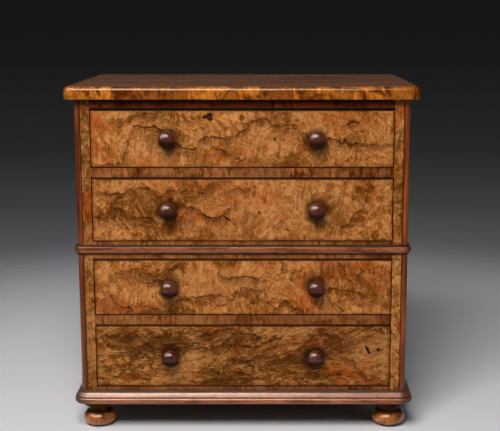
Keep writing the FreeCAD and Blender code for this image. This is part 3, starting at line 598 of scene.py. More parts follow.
def aged_steel(name):
    """Dull screw steel: fine turned scratches, with brown tarnish in patches."""
    m = Finish(name)
    tarnish = m.step(m.noise(m.place(), 420.0, 4.0, 0.6), 0.45, 0.65)
    colour = m.mix(tarnish * 0.6, linear(132, 126, 116), linear(82, 58, 40))
    roughness = 0.38 + tarnish * 0.25
    scratch = m.noise(m.place(scale=(1, 1, 6)), 2400.0, 2.0)
    normal = m.node("ShaderNodeBump", inputs={"Distance": 0.00005, "Height": scratch})
    shader = m.node("ShaderNodeBsdfPrincipled", inputs={
        "Base Color": colour, "Roughness": roughness, "Metallic": 1.0 - tarnish * 0.5,
        "Normal": normal})
    m.node("ShaderNodeOutputMaterial", inputs={"Surface": shader})
    return m.material


def tones(settings, pale=(1.62, 2.0, 3.7), brown=(0.40, 0.28, 0.13), dark=(0.09, 0.05, 0.02)):
    """The four tones of a wood, pale to dark, from its own middle colour."""
    middle = tuple(settings)
    lifted = tuple(min(1.0, v * s) for v, s in zip(middle, pale))
    lowered = tuple(v * s for v, s in zip(middle, brown))
    deep = tuple(v * s for v, s in zip(middle, dark))
    return lifted, middle, lowered, deep


def plain_tones(settings):
    """Closer tones, for plain straight-grained wood."""
    return tones(settings, (1.26, 1.28, 1.30), (0.58, 0.50, 0.40), (0.26, 0.18, 0.12))


# ---- Shapes ----

def wobble(a, b, seed):
    """Hand-worked unevenness from -1 to 1: a sum of four slow waves over two lengths."""
    source = np.random.default_rng(seed)
    total = np.zeros(np.broadcast(a, b).shape)
    for share in (0.4, 0.3, 0.2, 0.1):
        turn = source.uniform(0, 6.28)
        speed = source.uniform(25, 90)
        phase = source.uniform(0, 6.28)
        total = total + share * np.sin((a * math.cos(turn) + b * math.sin(turn)) * speed
                                       / (share + 0.25) + phase)
    return total


def finished(name, vertices, faces, material, uv=None, sharp=35.0):
    """Object at the origin from arrays of points and faces, smooth except at sharp edges."""
    mesh = bpy.data.meshes.new(name)
    mesh.from_pydata(vertices.tolist(), [], faces)
    if uv is not None:
        corners = np.zeros(len(mesh.loops), np.int32)
        mesh.loops.foreach_get("vertex_index", corners)
        layer = mesh.uv_layers.new(name="Grain")
        layer.data.foreach_set("uv", uv[corners].astype(np.float32).ravel())
    mesh.shade_smooth()
    mesh.set_sharp_from_angle(angle=math.radians(sharp))
    mesh.materials.append(material)
    mesh.validate()
    if signed_volume(mesh) < 0:
        mesh.flip_normals()
    piece = bpy.data.objects.new(name, mesh)
    bpy.context.scene.collection.objects.link(piece)
    return piece


def signed_volume(mesh):
    """Volume inside a closed mesh, negative where its faces point inwards."""
    mesh.calc_loop_triangles()
    points = np.zeros(len(mesh.vertices) * 3)
    mesh.vertices.foreach_get("co", points)
    corners = np.zeros(len(mesh.loop_triangles) * 3, np.int32)
    mesh.loop_triangles.foreach_get("vertices", corners)
    a, b, c = np.moveaxis(points.reshape(-1, 3)[corners.reshape(-1, 3)], 1, 0)
    return float(np.einsum("ij,ij->i", a, np.cross(b, c)).sum() / 6)


def ring_faces(rings, around, start=0):
    """Quads between closed rings of points that follow one another."""
    i, j = np.meshgrid(np.arange(rings - 1), np.arange(around), indexing="ij")
    after = (j + 1) % around
    quads = np.stack([i * around + j, i * around + after, (i + 1) * around + after,
                      (i + 1) * around + j], -1)
    return (quads.reshape(-1, 4) + start).tolist()


def rod_faces(rings, around, start=0):
    """Faces of a rod: the quads between its rings, and one face over each end."""
    last = start + (rings - 1) * around
    return ring_faces(rings, around, start) + [list(range(start, start + around))[::-1],
                                               list(range(last, last + around))]


def arc(centre, radius, start, end, count):
    """Points (out, up) of an arc between two angles in degrees."""
    angle = np.radians(np.linspace(start, end, count))
    return np.column_stack([centre[0] + radius * np.cos(angle),
                            centre[1] + radius * np.sin(angle)])


def densified(points, gap):
    """The closed outline with points no further apart than the gap on its straight parts."""
    out = []
    for here, there in zip(points, np.roll(points, -1, axis=0)):
        count = max(1, int(math.ceil(np.hypot(*(there - here)) / gap)))
        out.append(here + (there - here) * np.linspace(0, 1, count, endpoint=False)[:, None])
    return np.vstack(out)


def strip_path(corner, front, back, share):
    """Centres, directions, distances along for one length of a strip that goes round the chest.

    The front length runs between the middles of its two rounded corners, and a side length from
    the middle of a corner to the back. Directions are unit vectors out from the corner's axis."""
    x, y = corner

    def part(across, deep, degrees, hand=1.0):
        turn = np.radians(degrees)
        return np.stack(np.broadcast_arrays(across, deep, hand * np.sin(turn), -np.cos(turn)), -1)

    if share == "front":
        parts = [part(-x, y, np.linspace(-45, 0, 9)),
                 part(np.linspace(-x, x, 121)[1:-1], y, 0.0),
                 part(x, y, np.linspace(0, 45, 9))]
    else:
        hand = -1.0 if share == "left" else 1.0
        parts = [part(hand * x, y, np.linspace(45, 90, 9), hand),
                 part(hand * x, np.linspace(y, back, 81)[1:], 90.0, hand)]
    centres, outward = np.split(np.vstack(parts), 2, axis=1)
    edge = centres + outward * front
    along = np.concatenate([[0], np.cumsum(np.hypot(*np.diff(edge, axis=0).T))])
    return centres, outward, along


def strip(name, profile, corner, back, material, unevenness, seed, start=0.0):
    """Strip round the chest in three lengths that meet in mitres: the profile (out, up) is carried
    along each path, with its outer points moved by a slow unevenness. The map holds the distance
    along and over the profile."""
    vertices, faces, uvs, base = [], [], [], 0
    reach = profile[:, 0].max()
    over = np.concatenate([[0], np.cumsum(np.hypot(*np.diff(profile, axis=0).T))])
    exposed = np.clip((profile[:, 0] - 0.5 * reach) / (0.5 * reach), 0, 1)
    for index, share in enumerate(("front", "left", "right")):
        centres, outward, along = strip_path(corner, reach, back, share)
        swell = unevenness * wobble(along[:, None], profile[None, :, 1] * 3, seed + index)
        out = profile[None, :, 0] + (swell - unevenness) * exposed[None, :]
        points = np.empty((len(along), len(profile), 3))
        points[..., :2] = centres[:, None, :] + outward[:, None, :] * out[..., None]
        points[..., 2] = profile[None, :, 1]
        rings, around = points.shape[:2]
        vertices.append(points.reshape(-1, 3))
        uvs.append(np.stack(np.broadcast_arrays(along[:, None] + start + index * 0.731,
                                                over[None, :]), -1).reshape(-1, 2))
        length = rod_faces(rings, around, base)
        base += rings * around
        faces += [face[::-1] for face in length] if share == "left" else length
    return finished(name, np.vstack(vertices), faces, material, np.vstack(uvs))


def revolved(name, profile, centre, axis, material):
    """Turned piece: the profile (radius, distance) goes round an axis, closed by a point at each
    end, where the radius is 0."""
    around = 128
    radius, distance = profile[1:-1, 0], profile[1:-1, 1]
    angle = np.linspace(0, 2 * math.pi, around, endpoint=False)
    flat = radius[:, None] * np.cos(angle), radius[:, None] * np.sin(angle)
    away = np.broadcast_to(distance[:, None], flat[0].shape)
    order = {"y": (flat[0], -away, flat[1]), "z": (flat[0], flat[1], away)}[axis]
    rings = np.stack(order, -1).reshape(-1, 3)
    tips = np.zeros((2, 3))
    tips[:, "xyz".index(axis)] = profile[[0, -1], 1] * (-1 if axis == "y" else 1)
    vertices = np.vstack([rings, tips]) + np.array(centre)
    faces = ring_faces(len(radius), around)
    j = np.arange(around)
    after = (j + 1) % around
    last = (len(radius) - 1) * around
    first_tip, last_tip = len(rings), len(rings) + 1
    faces += np.column_stack([after, j, np.full(around, first_tip)]).tolist()
    faces += np.column_stack([last + j, last + after, np.full(around, last_tip)]).tolist()
    return finished(name, vertices, faces, material)


def sheet_front(name, low, high, arris, unevenness, seed, material):
    """Veneered board face: a height field over width and height that falls away in a quarter
    round at all four edges, worn more in some places, and is closed by flat sides and back."""
    def spaced(start, end, gap=2 * MM):
        near = arris * np.array([0, 0.12, 0.3, 0.55, 0.85, 1.2, 2.0])
        inside = np.linspace(start + 3 * arris, end - 3 * arris,
                             int((end - start) / gap) + 1)
        return np.concatenate([start + near, inside, (end - near)[::-1]])

    x, z = spaced(low[0], high[0]), spaced(low[2], high[2])
    u, w = np.meshgrid(x, z, indexing="ij")
    fall = np.zeros_like(u)
    for gap in (u - low[0], high[0] - u, w - low[2], high[2] - w):
        round_here = arris * (1 + 0.35 * wobble(u, w, seed + 1))
        inside = np.clip(gap / round_here, 0, 1)
        fall += round_here * (1 - np.sqrt(1 - (1 - inside) ** 2))
    y = low[1] + np.minimum(fall, (high[1] - low[1]) * 0.96) \
        + unevenness * (1 + wobble(u, w, seed)) / 2
    front = np.stack([u, y, w], -1).reshape(-1, 3)
    nx, nz = len(x), len(z)
    i, j = np.meshgrid(np.arange(nx - 1), np.arange(nz - 1), indexing="ij")
    k = i * nz + j
    faces = np.stack([k, k + nz, k + nz + 1, k + 1], -1).reshape(-1, 4).tolist()
    corners = np.array([[low[0], high[1], low[2]], [high[0], high[1], low[2]],
                        [high[0], high[1], high[2]], [low[0], high[1], high[2]]])
    a, b, c, d = range(nx * nz, nx * nz + 4)
    index = np.arange(nx * nz).reshape(nx, nz)
    faces.append([a, b] + index[::-1, 0].tolist())
    faces.append([b, c] + index[-1, ::-1].tolist())
    faces.append([c, d] + index[:, -1].tolist())
    faces.append([d, a] + index[0, :].tolist())
    faces.append([a, d, c, b])
    return finished(name, np.vstack([front, corners]), faces, material, sharp=50.0)


# ---- Settings ----

def size_setting(name, description, default, least, most):
    return bpy.props.FloatProperty(name=name, description=description, default=default,
                                   min=least, max=most, unit="LENGTH")


def colour_setting(name, description, *picked):
    return bpy.props.FloatVectorProperty(name=name, description=description, subtype="COLOR",
                                         size=3, min=0, max=1, default=linear(*picked))


class ChestSizes(bpy.types.PropertyGroup):
    arris: size_setting("Arris", "Rounding of the drawer fronts' worn edges",
                        0.7 * MM, 0.1 * MM, 3 * MM)
    unevenness: size_setting("Unevenness", "How far hand-worked faces stray from flat",
                             0.12 * MM, 0.0, 1 * MM)
    rail_length: size_setting("Rail band", "Usual length of a piece of the rails' banding",
                              30 * MM, 5 * MM, 200 * MM)
    edging_length: size_setting("Edging band", "Usual length of a piece of the top's edging",
                                34 * MM, 5 * MM, 200 * MM)
    floor_radius: size_setting("Floor", "Distance at which the floor has faded out",
                               1.08, 0.5, 5.0)


class ChestColours(bpy.types.PropertyGroup):
    burr: colour_setting("Burr veneer", "Middle tone of the drawer fronts", 154, 103, 49)
    low_burr: colour_setting("Lowest drawer", "Middle tone of the lowest drawer front",
                             136, 97, 49)
    band: colour_setting("Cross-banding", "Middle tone of the rails", 121, 73, 31)
    # The top rail's tone is darker than the other rails: in part painted shadow of the top's
    # overhang.
    top_rail: colour_setting("Top rail", "Middle tone of the rail under the top", 92, 40, 18)
    stile: colour_setting("Stiles", "Middle tone of the strips beside the drawers",
                          148, 108, 57)
    post: colour_setting("Corner posts", "Middle tone of the corner posts", 128, 58, 16)
    edging: colour_setting("Top edging", "Middle tone of the edging round the top",
                           151, 92, 27)
    top: colour_setting("Top", "Middle tone of the top", 119, 81, 60)
    moulding: colour_setting("Mouldings", "Middle tone of the waist and base mouldings",
                             118, 62, 28)
    foot: colour_setting("Feet", "Middle tone of the bun feet", 176, 104, 42)
    knob: colour_setting("Knobs", "Middle tone of the knobs", 74, 29, 13)
    side: colour_setting("Sides", "Middle tone of the side boards", 124, 72, 36)
    mahogany: colour_setting("Plain mahogany", "Middle tone of the back and the drawer cores",
                             122, 76, 48)
    under: colour_setting("Underside", "Middle tone of the dusty base board", 70, 42, 26)
    lining: colour_setting("Drawer linings", "Middle tone of the drawer sides and backs",
                           172, 132, 88)
    pine: colour_setting("Pine", "Middle tone of the plain inner woodwork", 186, 146, 96)
    floor: colour_setting("Floor", "Colour of the plain floor", 226, 225, 227)


def sizes():
    return bpy.context.scene.chest_sizes


def colours():
    return bpy.context.scene.chest_colours


def dress(node, material):
    """Gives a CAD node a finish, by its material slots alone."""
    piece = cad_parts[node]
    for place in piece.material_slots:
        place.material = material


def knob_places(drawer):
    """Middles (x, z) of a drawer's two knobs."""
    boxes = [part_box(drawer + "_knob_" + hand) for hand in HANDS]
    return [((low.x + high.x) / 2, (low.z + high.z) / 2) for low, high in boxes]


def stand_in(piece, body, slot, *nodes):
    """Sets a shaped piece in the place of CAD nodes, on the body that carries them."""
    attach(piece, body)
    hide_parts(*nodes)


# ---- Pieces ----

class CHEST_OT_drawer_fronts(bpy.types.Operator):
    """Burr veneer of the four drawer fronts, with worn edges"""
    bl_idname = "chest.drawer_fronts"
    bl_label = "Drawer fronts"

    def execute(self, context):
        for index, drawer in enumerate(DRAWERS):
            node = drawer + "_veneer"
            low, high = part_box(node)
            if drawer == "drawer_4":
                tint, character = colours().low_burr, FLOWING_FIGURE
            else:
                tint, character = colours().burr, CLOUDY_FIGURE
            material = burr("burr_" + drawer, tones(tint), (0.37 * index, 0.1, 0.61 * index),
                            FIGURE_LINES[drawer], CLOUDS[drawer], MARKS[drawer], (low, high),
                            knob_places(drawer), **character)
            piece = sheet_front(drawer + "_front_veneer", low, high, sizes().arris,
                                sizes().unevenness, 11 + index, material)
            stand_in(piece, drawer, "burr_veneer", node)
        return {"FINISHED"}


class CHEST_OT_knobs(bpy.types.Operator):
    """Eight turned knobs, each with a collar, a coved neck, a rim and a domed face"""
    bl_idname = "chest.knobs"
    bl_label = "Knobs"

    @staticmethod
    def profile(radius, reach, spigot):
        """Radius and distance from the drawer's face, from the spigot's end to the dimple."""
        neck = np.linspace(0, math.pi / 2, 9)
        collar = arc((5.3 * MM, 0.5 * MM), 0.5 * MM, -90, 0, 5)
        cove_in = np.column_stack([5.8 - 1.5 * np.sin(neck), 4.6 - 3.2 * np.cos(neck)]) * MM
        cove_out = np.column_stack([8.7 - 4.4 * np.cos(neck), 4.6 + 4.8 * np.sin(neck)]) * MM
        rim = 11.0 * MM
        t = np.linspace(-0.62, math.pi / 2, 40)[:-1]
        head = np.column_stack([radius * np.cos(t) ** 0.88,
                                rim + np.where(t < 0, 2.4 * MM, reach - rim) * np.sin(t)])
        ring = 2.6 * MM
        inside = np.clip(1 - head[:, 0] / ring, 0, 1) * (t > 0)
        head[:, 1] -= 0.22 * MM * (1 - np.cos(math.pi * inside)) / 2
        tip = [[0, reach - 0.22 * MM]]
        return np.vstack([[[0, spigot], [4 * MM, spigot], [4 * MM, 0]], collar, cove_in,
                          cove_out[1:-1], head, tip])

    def execute(self, context):
        for drawer in DRAWERS:
            middle = knob_places(drawer)[0][1]
            # Painted shade darkens the lower half of each knob.
            material = turned_wood("knob_" + drawer, tones(colours().knob), "y", 500.0, 60.0,
                                   0.9, 0.28, (middle + 1.0 * MM, middle - 4.0 * MM))
            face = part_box(drawer + "_veneer")[0].y
            for hand in HANDS:
                node = drawer + "_knob_" + hand
                low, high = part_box(node)
                centre = ((low.x + high.x) / 2, face, (low.z + high.z) / 2)
                outline = self.profile((high.x - low.x) / 2, face - low.y, face - high.y)
                piece = revolved(drawer + "_turned_knob_" + hand, outline, centre, "y", material)
                stand_in(piece, drawer, "rosewood_knob", node)
        return {"FINISHED"}


class CHEST_OT_feet(bpy.types.Operator):
    """Four turned bun feet"""
    bl_idname = "chest.feet"
    bl_label = "Feet"

    @staticmethod
    def profile(radius, height, spigot_end):
        """Radius and height, from the floor up: pad, bun, short neck, cove, collar, spigot."""
        widest, bun_top, neck = 8.3 * MM, 18.8 * MM, 12.0 * MM
        low_turn = np.linspace(math.acos(5 * MM / radius), 0, 20)
        low_rise = widest / math.sin(low_turn[0])
        below = np.column_stack([radius * np.cos(low_turn), widest - low_rise * np.sin(low_turn)])
        high_turn = np.linspace(0, math.acos(neck / radius), 20)[1:]
        high_rise = (bun_top - widest) / math.sin(high_turn[-1])
        above = np.column_stack([radius * np.cos(high_turn),
                                 widest + high_rise * np.sin(high_turn)])
        t = np.linspace(0, math.pi / 2, 12)
        cove = np.column_stack([17.0 * MM - 5.0 * MM * np.cos(t),
                                19.6 * MM + 5.0 * MM * np.sin(t)])
        lip = arc((17.0 * MM, 25.1 * MM), 0.5 * MM, -80, 0, 5)
        head = [[17.5 * MM, height], [5 * MM, height], [5 * MM, spigot_end], [0, spigot_end]]
        return np.vstack([[[0, 0]], below, above, cove, lip, head])

    def execute(self, context):
        # Painted shadow of the base moulding darkens the top of each bun, its neck and its collar.
        material = turned_wood("polished_foot", tones(colours().foot), "z", 240.0, 30.0, 1.0, 0.22,
                               (13.5 * MM, 18.5 * MM))
        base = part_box("base_board")[0].z
        for place in ("front", "back"):
            for hand in HANDS:
                node = "foot_" + place + "_" + hand
                low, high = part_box(node)
                centre = ((low.x + high.x) / 2, (low.y + high.y) / 2, 0.0)
                outline = self.profile((high.x - low.x) / 2, base, high.z)
                piece = revolved("turned_" + node, outline, centre, "z", material)
                stand_in(piece, "carcase", "turned_walnut", node)
        return {"FINISHED"}


class CHEST_OT_corner_posts(bpy.types.Operator):
    """Dark posts with a round outer corner and a fine chamfer by the stile"""
    bl_idname = "chest.corner_posts"
    bl_label = "Corner posts"

    def execute(self, context):
        for hand in HANDS:
            node = "corner_post_" + hand
            low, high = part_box(node)
            shade = 0.8 if hand == "left" else 1.0
            material = straight_grain(node, tones([v * shade for v in colours().post]), "z", 900.0,
                                      22.0, rough=0.24, seam_at=min(abs(low.x), abs(high.x)))
            sign = -1.0 if hand == "left" else 1.0
            size, turn, chamfer = high.x - low.x, CORNER_ROUND, 0.6 * MM
            outer = arc((size - turn, turn), turn, -90, 0, 13)
            outline = np.vstack([[[0, size], [0, chamfer], [chamfer, 0]], outer, [[size, size]]])
            outline = densified(outline, 1.2 * MM)
            levels = np.linspace(low.z, high.z, 90)
            shift = 1 + 0.5 * wobble(levels[:, None], outline[None, :, 0] * 5, 31)
            inner = low.x if sign > 0 else high.x
            points = np.empty((len(levels), len(outline), 3))
            curved = (outline[:, 0] > chamfer) & (outline[:, 1] < size - 0.2 * MM)
            ease = sizes().unevenness * shift * curved[None, :] * 0.5
            points[..., 0] = inner + sign * (outline[None, :, 0] - ease)
            points[..., 1] = low.y + outline[None, :, 1] + ease
            points[..., 2] = levels[:, None]
            piece = finished("rounded_" + node, points.reshape(-1, 3),
                             rod_faces(*points.shape[:2]), material)
            stand_in(piece, "carcase", "dark_post", node)
        return {"FINISHED"}


class CHEST_OT_front_frame(bpy.types.Operator):
    """Finishes of the rails and stiles round the drawers"""
    bl_idname = "chest.front_frame"
    bl_label = "Front frame"

    def execute(self, context):
        low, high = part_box("top_rail")
        length, front = sizes().rail_length, low.y
        for node, share in (("upper_rail", 1.0), ("waist_rail", 1.0), ("lower_rail", 0.92),
                            ("bottom_rail", 0.82)):
            dress(node, crossbanded(node, tones([v * share for v in colours().band]), length,
                                    front))
        # Painted shadow of the top's overhang along the rail's upper edge, and painted shade along
        # its lower edge by the gap over the first drawer.
        shaded_heights = ((high.z - 4.2 * MM, high.z - 2.4 * MM, 1.0, 2.0),
                 (-1.0, 0.0, low.z + 0.9 * MM, low.z + 1.8 * MM))
        dress("top_rail", crossbanded("shaded_top_rail", tones(colours().top_rail), length, front,
                                      shaded_heights))
        for index, hand in enumerate(HANDS):
            shade = 0.70 if hand == "left" else 0.92
            dress("stile_" + hand, burr("stile_" + hand,
                                        tones([v * shade for v in colours().stile]),
                                        (0.9 + index, 0.4, 0.2), contrast=1.6))
        return {"FINISHED"}


class CHEST_OT_top(bpy.types.Operator):
    """Top veneer and its rounded cross-grain edging"""
    bl_idname = "chest.top"
    bl_label = "Top"

    def execute(self, context):
        dress("top_veneer", straight_grain("top_veneer", plain_tones(colours().top), "x", 420.0,
                                           14.0, figure=0.8, rough=0.2, shine=0.6))
        low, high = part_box("top_edge_moulding")
        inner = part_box("top_board")[1].x
        width, ease, turn = high.x - inner, 1 * MM, 5 * MM
        outline = np.vstack([
            [[0, low.z]],
            arc((width - ease, low.z + ease), ease, -90, 0, 5),
            arc((width - turn, high.z - turn), turn, 0, 90, 17),
            [[0, high.z]],
        ])
        outline = densified(outline, 1.5 * MM)
        piece = strip("top_edging", outline, (inner, low.y + width), high.y,
                      edging("top_edging", tones(colours().edging), sizes().edging_length,
                             tones(colours().top)[1]),
                      sizes().unevenness, 41)
        stand_in(piece, "carcase", "cross_grain_edging", "top_edge_moulding")
        return {"FINISHED"}


class CHEST_OT_waist_moulding(bpy.types.Operator):
    """Flattened half-round moulding round the waist"""
    bl_idname = "chest.waist_moulding"
    bl_label = "Waist moulding"

    def execute(self, context):
        low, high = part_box("waist_moulding")
        side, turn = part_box("side_right")[1].x, CORNER_ROUND
        reach, half, middle = high.x - side, (high.z - low.z) / 2, (low.z + high.z) / 2
        shoulder = 0.7 * reach
        drop = half - shoulder
        crown = (reach ** 2 + drop ** 2 - shoulder ** 2) / (2 * (reach - shoulder))
        angle = math.degrees(math.atan2(drop, crown - reach))
        outline = np.vstack([
            arc((turn, middle - drop), shoulder, -90, -angle, 9),
            arc((turn + reach - crown, middle), crown, -angle, angle, 13)[1:-1],
            arc((turn, middle + drop), shoulder, angle, 90, 9),
        ])
        # Darker bands under the moulding's top and over its foot: partly old polish along its
        # seams, partly painted shade.
        shaded_heights = ((-1.0, 0.0, low.z + 1.4 * MM, low.z + 2.8 * MM),
                 (high.z - 2.5 * MM, high.z - 1.6 * MM, 1.0, 2.0))
        material = moulded("waist_moulding", tones(colours().moulding), 0.32, shaded_heights, side - turn)
        piece = strip("polished_waist_moulding", densified(outline, 1.2 * MM),
                      (side - turn, low.y + reach + turn), high.y, material,
                      sizes().unevenness * MACHINED, 51, 0.4)
        stand_in(piece, "carcase", "walnut_moulding", "waist_moulding")
        return {"FINISHED"}


class CHEST_OT_base_moulding(bpy.types.Operator):
    """Base moulding: a bead, a fine quirk and a long slope up to the carcase"""
    bl_idname = "chest.base_moulding"
    bl_label = "Base moulding"

    def execute(self, context):
        low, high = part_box("base_moulding")
        side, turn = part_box("side_right")[1].x, CORNER_ROUND
        out = turn + high.x - side
        bead, quirk, deep = low.z + 6.6 * MM, 1.1 * MM, 1.0 * MM
        shelf = turn + 2.0 * MM
        t = np.linspace(0, 1, 12)
        slope_foot, slope_head = np.array([out - deep, bead + quirk]), np.array([shelf, high.z])
        slope = slope_foot + (slope_head - slope_foot) * t[:, None]
        slope -= np.outer(np.sin(math.pi * t), (0.16 * MM, 0.16 * MM))
        slope[-1] += (0.25 * MM, -0.5 * MM)
        bow = np.linspace(-60, 60, 15)
        bulge = np.column_stack([out - 1.5 * MM * (1 - np.cos(np.radians(bow))) * 2,
                                 (low.z + bead) / 2 + 3.3 * MM * np.sin(np.radians(bow))
                                 / math.sin(math.radians(60))])
        outline = np.vstack([
            [[turn, low.z]],
            bulge,
            [[out - 2 * deep, bead + 0.5 * quirk]],
            slope,
            [[shelf - 0.4 * MM, high.z], [turn, high.z]],
        ])
        # Darker bands at the slope's top, in the quirk and at the foot: partly old polish in these
        # hollows and seams, partly painted shade.
        shaded_heights = ((high.z - 2.6 * MM, high.z - 1.7 * MM, 1.0, 2.0),
                 (bead - 0.3 * MM, bead, bead + quirk, bead + 1.6 * quirk),
                 (-1.0, 0.0, low.z, low.z + 0.7 * MM))
        material = moulded("base_moulding", tones([v * 1.3 for v in colours().moulding]), 0.8,
                           shaded_heights, side - turn - 3 * MM)
        piece = strip("polished_base_moulding", densified(outline, 1.5 * MM),
                      (side - turn, low.y + out), high.y, material,
                      sizes().unevenness * MACHINED, 61, 1.1)
        stand_in(piece, "carcase", "walnut_moulding", "base_moulding")
        return {"FINISHED"}


class CHEST_OT_carcase(bpy.types.Operator):
    """Finishes of the side boards, back, base, runners and the other inner boards"""
    bl_idname = "chest.carcase"
    bl_label = "Carcase boards"

    def execute(self, context):
        side = straight_grain("veneered_side", plain_tones(colours().side), "z", 520.0, 11.0,
                              figure=0.8, rough=0.26, shine=0.35)
        for hand in HANDS:
            dress("side_" + hand, side)
        plain = plain_tones(colours().mahogany)
        dress("back_board", straight_grain("plain_back", plain, "z", 460.0, 12.0, rough=0.5,
                                           shine=0.2))
        dress("base_board", straight_grain("plain_base", plain_tones(colours().under), "x", 460.0,
                                           12.0, rough=0.6, shine=0.1))
        pine = plain_tones(colours().pine)
        for name, axis, nodes in (
                ("pine_across", "x", ("top_board", "dust_boards", "drawer_stops")),
                ("pine_deep", "y", ("drawer_runners", "drawer_guides", "top_kickers"))):
            material = straight_grain(name, pine, axis, 300.0, 8.0, figure=0.8, rough=0.55,
                                      shine=0.2)
            for node in nodes:
                dress(node, material)
        return {"FINISHED"}


class CHEST_OT_drawer_boxes(bpy.types.Operator):
    """Finishes of the drawer boards behind the veneer"""
    bl_idname = "chest.drawer_boxes"
    bl_label = "Drawer boxes"

    def execute(self, context):
        core = straight_grain("drawer_core", plain_tones(colours().mahogany), "x", 460.0, 12.0,
                              rough=0.5, shine=0.2)
        lining_y, lining_x = (
            straight_grain(name, plain_tones(colours().lining), axis, 520.0, 12.0, rough=0.45,
                           shine=0.25, ray=0.3)
            for name, axis in (("lining_deep", "y"), ("lining_across", "x")))
        bottom = straight_grain("drawer_bottom", plain_tones(colours().pine), "x", 300.0, 8.0,
                                figure=0.8, rough=0.5, shine=0.2)
        for drawer in DRAWERS:
            dress(drawer + "_front", core)
            dress(drawer + "_back", lining_x)
            dress(drawer + "_bottom", bottom)
            for hand in HANDS:
                dress(drawer + "_side_" + hand, lining_y)
        return {"FINISHED"}


class CHEST_OT_screws(bpy.types.Operator):
    """Finish of the wood screws"""
    bl_idname = "chest.screws"
    bl_label = "Screws"

    def execute(self, context):
        dress("wood_screws", aged_steel("screw_steel"))
        return {"FINISHED"}


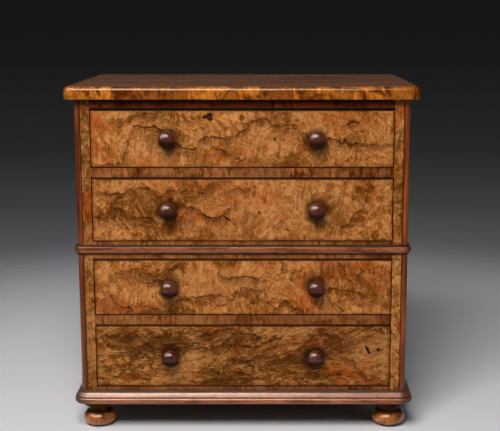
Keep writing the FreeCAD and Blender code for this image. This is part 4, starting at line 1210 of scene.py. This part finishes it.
class CHEST_OT_stage(bpy.types.Operator):
    """Plain pale floor, soft lamps, backdrop tone and the camera"""
    bl_idname = "chest.stage"
    bl_label = "Stage"

    def execute(self, context):
        self.floor()
        self.backdrop()
        self.lamp("key", (-0.26, -1.20, 1.40), (0.0, -0.1, 0.17), 0.90, 0.75, 33.0)
        self.lamp("fill", (1.5, -1.3, 0.9), (0.0, 0.0, 0.2), 0.9, 0.9, 1.5)
        gleam = self.lamp("gleam", (-1.15, -0.75, 1.35), (0.0, -0.1, 0.2), 1.3, 1.3, 38.0)
        gleam.visible_diffuse = False
        self.camera()
        context.scene.view_settings.view_transform = "Standard"
        return {"FINISHED"}

    @staticmethod
    def floor():
        """Round floor from rings of points. It grows clear towards its rim, so it fades into
        the backdrop from every side."""
        outer, around = sizes().floor_radius, 96
        radius = np.concatenate([[0.02], np.linspace(0.1, outer * 1.05, 14)])
        angle = np.linspace(0, 2 * math.pi, around, endpoint=False)
        points = np.stack([radius[:, None] * np.cos(angle), radius[:, None] * np.sin(angle),
                           np.zeros((len(radius), around))], -1).reshape(-1, 3)
        faces = [face[::-1] for face in ring_faces(len(radius), around)]
        faces.append(list(range(around)))
        m = Finish("plain_floor")
        x, y = m.axes(m.place())[:2]
        far = m.math("SQRT", x * x + y * y)
        cloud = m.noise(m.place(), 5.0, 4.0)
        colour = m.mix(cloud * 0.15, tuple(colours().floor), linear(196, 196, 198))
        shader = m.node("ShaderNodeBsdfPrincipled", inputs={
            "Base Color": colour, "Roughness": 0.75, "Specular IOR Level": 0.2})
        clear = m.node("ShaderNodeBsdfTransparent")
        fade = m.step(far, outer, 0.36)
        mixed = m.node("ShaderNodeMixShader", inputs={0: fade, 1: clear, 2: shader})
        m.node("ShaderNodeOutputMaterial", inputs={"Surface": mixed})
        mesh = bpy.data.meshes.new("floor")
        mesh.from_pydata(points.tolist(), [], faces)
        mesh.materials.append(m.material)
        floor = bpy.data.objects.new("floor", mesh)
        bpy.context.scene.collection.objects.link(floor)

    @staticmethod
    def backdrop():
        """World: soft grey that darkens upwards where the camera or a gloss sees it, and an even
        low light for everything else."""
        world = bpy.data.worlds.new("studio")
        world.use_nodes = True
        m = Finish("studio", world.node_tree)
        rise = m.axes(m.node("ShaderNodeTexCoord", output=0))[2]
        height = (rise + 0.30) / 0.40
        seen = m.ramp(height, (0.15, linear(112, 112, 114)), (0.235, linear(84, 84, 86)),
                      (0.34, linear(60, 60, 61)), (0.455, linear(39, 39, 40)),
                      (0.66, linear(24, 24, 24)), (1.0, linear(20, 20, 20)))
        path = m.node("ShaderNodeLightPath").output.node
        eye = Socket(m, path.outputs["Is Camera Ray"])
        gloss = Socket(m, path.outputs["Is Glossy Ray"])
        clear = Socket(m, path.outputs["Is Transmission Ray"])
        visible = m.math("MAXIMUM", m.math("MAXIMUM", eye, gloss), clear)
        colour = m.mix(visible, (0.07, 0.07, 0.072), seen)
        shader = m.node("ShaderNodeBackground", inputs={"Color": colour, "Strength": 1.0})
        m.node("ShaderNodeOutputWorld", inputs={"Surface": shader})
        bpy.context.scene.world = world

    @staticmethod
    def lamp(name, at, target, width, height, power):
        data = bpy.data.lights.new(name, "AREA")
        data.shape = "RECTANGLE"
        data.size = width
        data.size_y = height
        data.energy = power
        lamp = bpy.data.objects.new(name, data)
        lamp.location = at
        away = np.array(target) - np.array(at)
        lamp.rotation_euler = (math.acos(-away[2] / np.linalg.norm(away)), 0.0,
                               math.atan2(away[1], away[0]) - math.pi / 2)
        bpy.context.scene.collection.objects.link(lamp)
        return lamp

    @staticmethod
    def camera():
        """Camera fitted to the chest's straight edges, for a 500 by 431 frame: its focal length
        and optical centre in pixels of that frame, its place and its downward tilt."""
        frame_width, focal, centre = 500.0, 1114.0, 274.4
        aside, before, over, tilt = 0.0345, 1.1883, 0.0736, 10.17
        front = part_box("stile_left")[0].y
        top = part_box("top_veneer")[1].z
        data = bpy.data.cameras.new("view")
        data.sensor_fit = "HORIZONTAL"
        data.sensor_width = 36.0
        data.lens = focal * data.sensor_width / frame_width
        data.shift_x = (frame_width / 2 - centre) / frame_width
        camera = bpy.data.objects.new("view", data)
        camera.location = (aside, front - before, top + over)
        camera.rotation_euler = (math.radians(90.0 - tilt), 0.0, 0.0)
        bpy.context.scene.collection.objects.link(camera)
        bpy.context.scene.camera = camera


MAKERS = (
    CHEST_OT_drawer_fronts, CHEST_OT_knobs, CHEST_OT_feet, CHEST_OT_corner_posts,
    CHEST_OT_front_frame, CHEST_OT_top, CHEST_OT_waist_moulding, CHEST_OT_base_moulding,
    CHEST_OT_carcase, CHEST_OT_drawer_boxes, CHEST_OT_screws, CHEST_OT_stage,
)


class CHEST_PT_panel(bpy.types.Panel):
    """Sidebar panel with the chest's settings and makers"""
    bl_idname = "CHEST_PT_panel"
    bl_label = "Burr walnut chest"
    bl_space_type = "VIEW_3D"
    bl_region_type = "UI"
    bl_category = "Chest"

    def draw(self, context):
        for group in (context.scene.chest_sizes, context.scene.chest_colours):
            for key in group.__annotations__:
                self.layout.prop(group, key)
        for maker in MAKERS:
            self.layout.operator(maker.bl_idname)


CLASSES = (ChestSizes, ChestColours) + MAKERS + (CHEST_PT_panel,)


def register():
    for each in CLASSES:
        bpy.utils.register_class(each)
    bpy.types.Scene.chest_sizes = bpy.props.PointerProperty(type=ChestSizes)
    bpy.types.Scene.chest_colours = bpy.props.PointerProperty(type=ChestColours)


def unregister():
    del bpy.types.Scene.chest_colours
    del bpy.types.Scene.chest_sizes
    for each in reversed(CLASSES):
        bpy.utils.unregister_class(each)


def main():
    register()
    for maker in MAKERS:
        group, name = maker.bl_idname.split(".")
        getattr(getattr(bpy.ops, group), name)()
    bpy.context.view_layer.update()


if __name__ == "__main__":
    main()
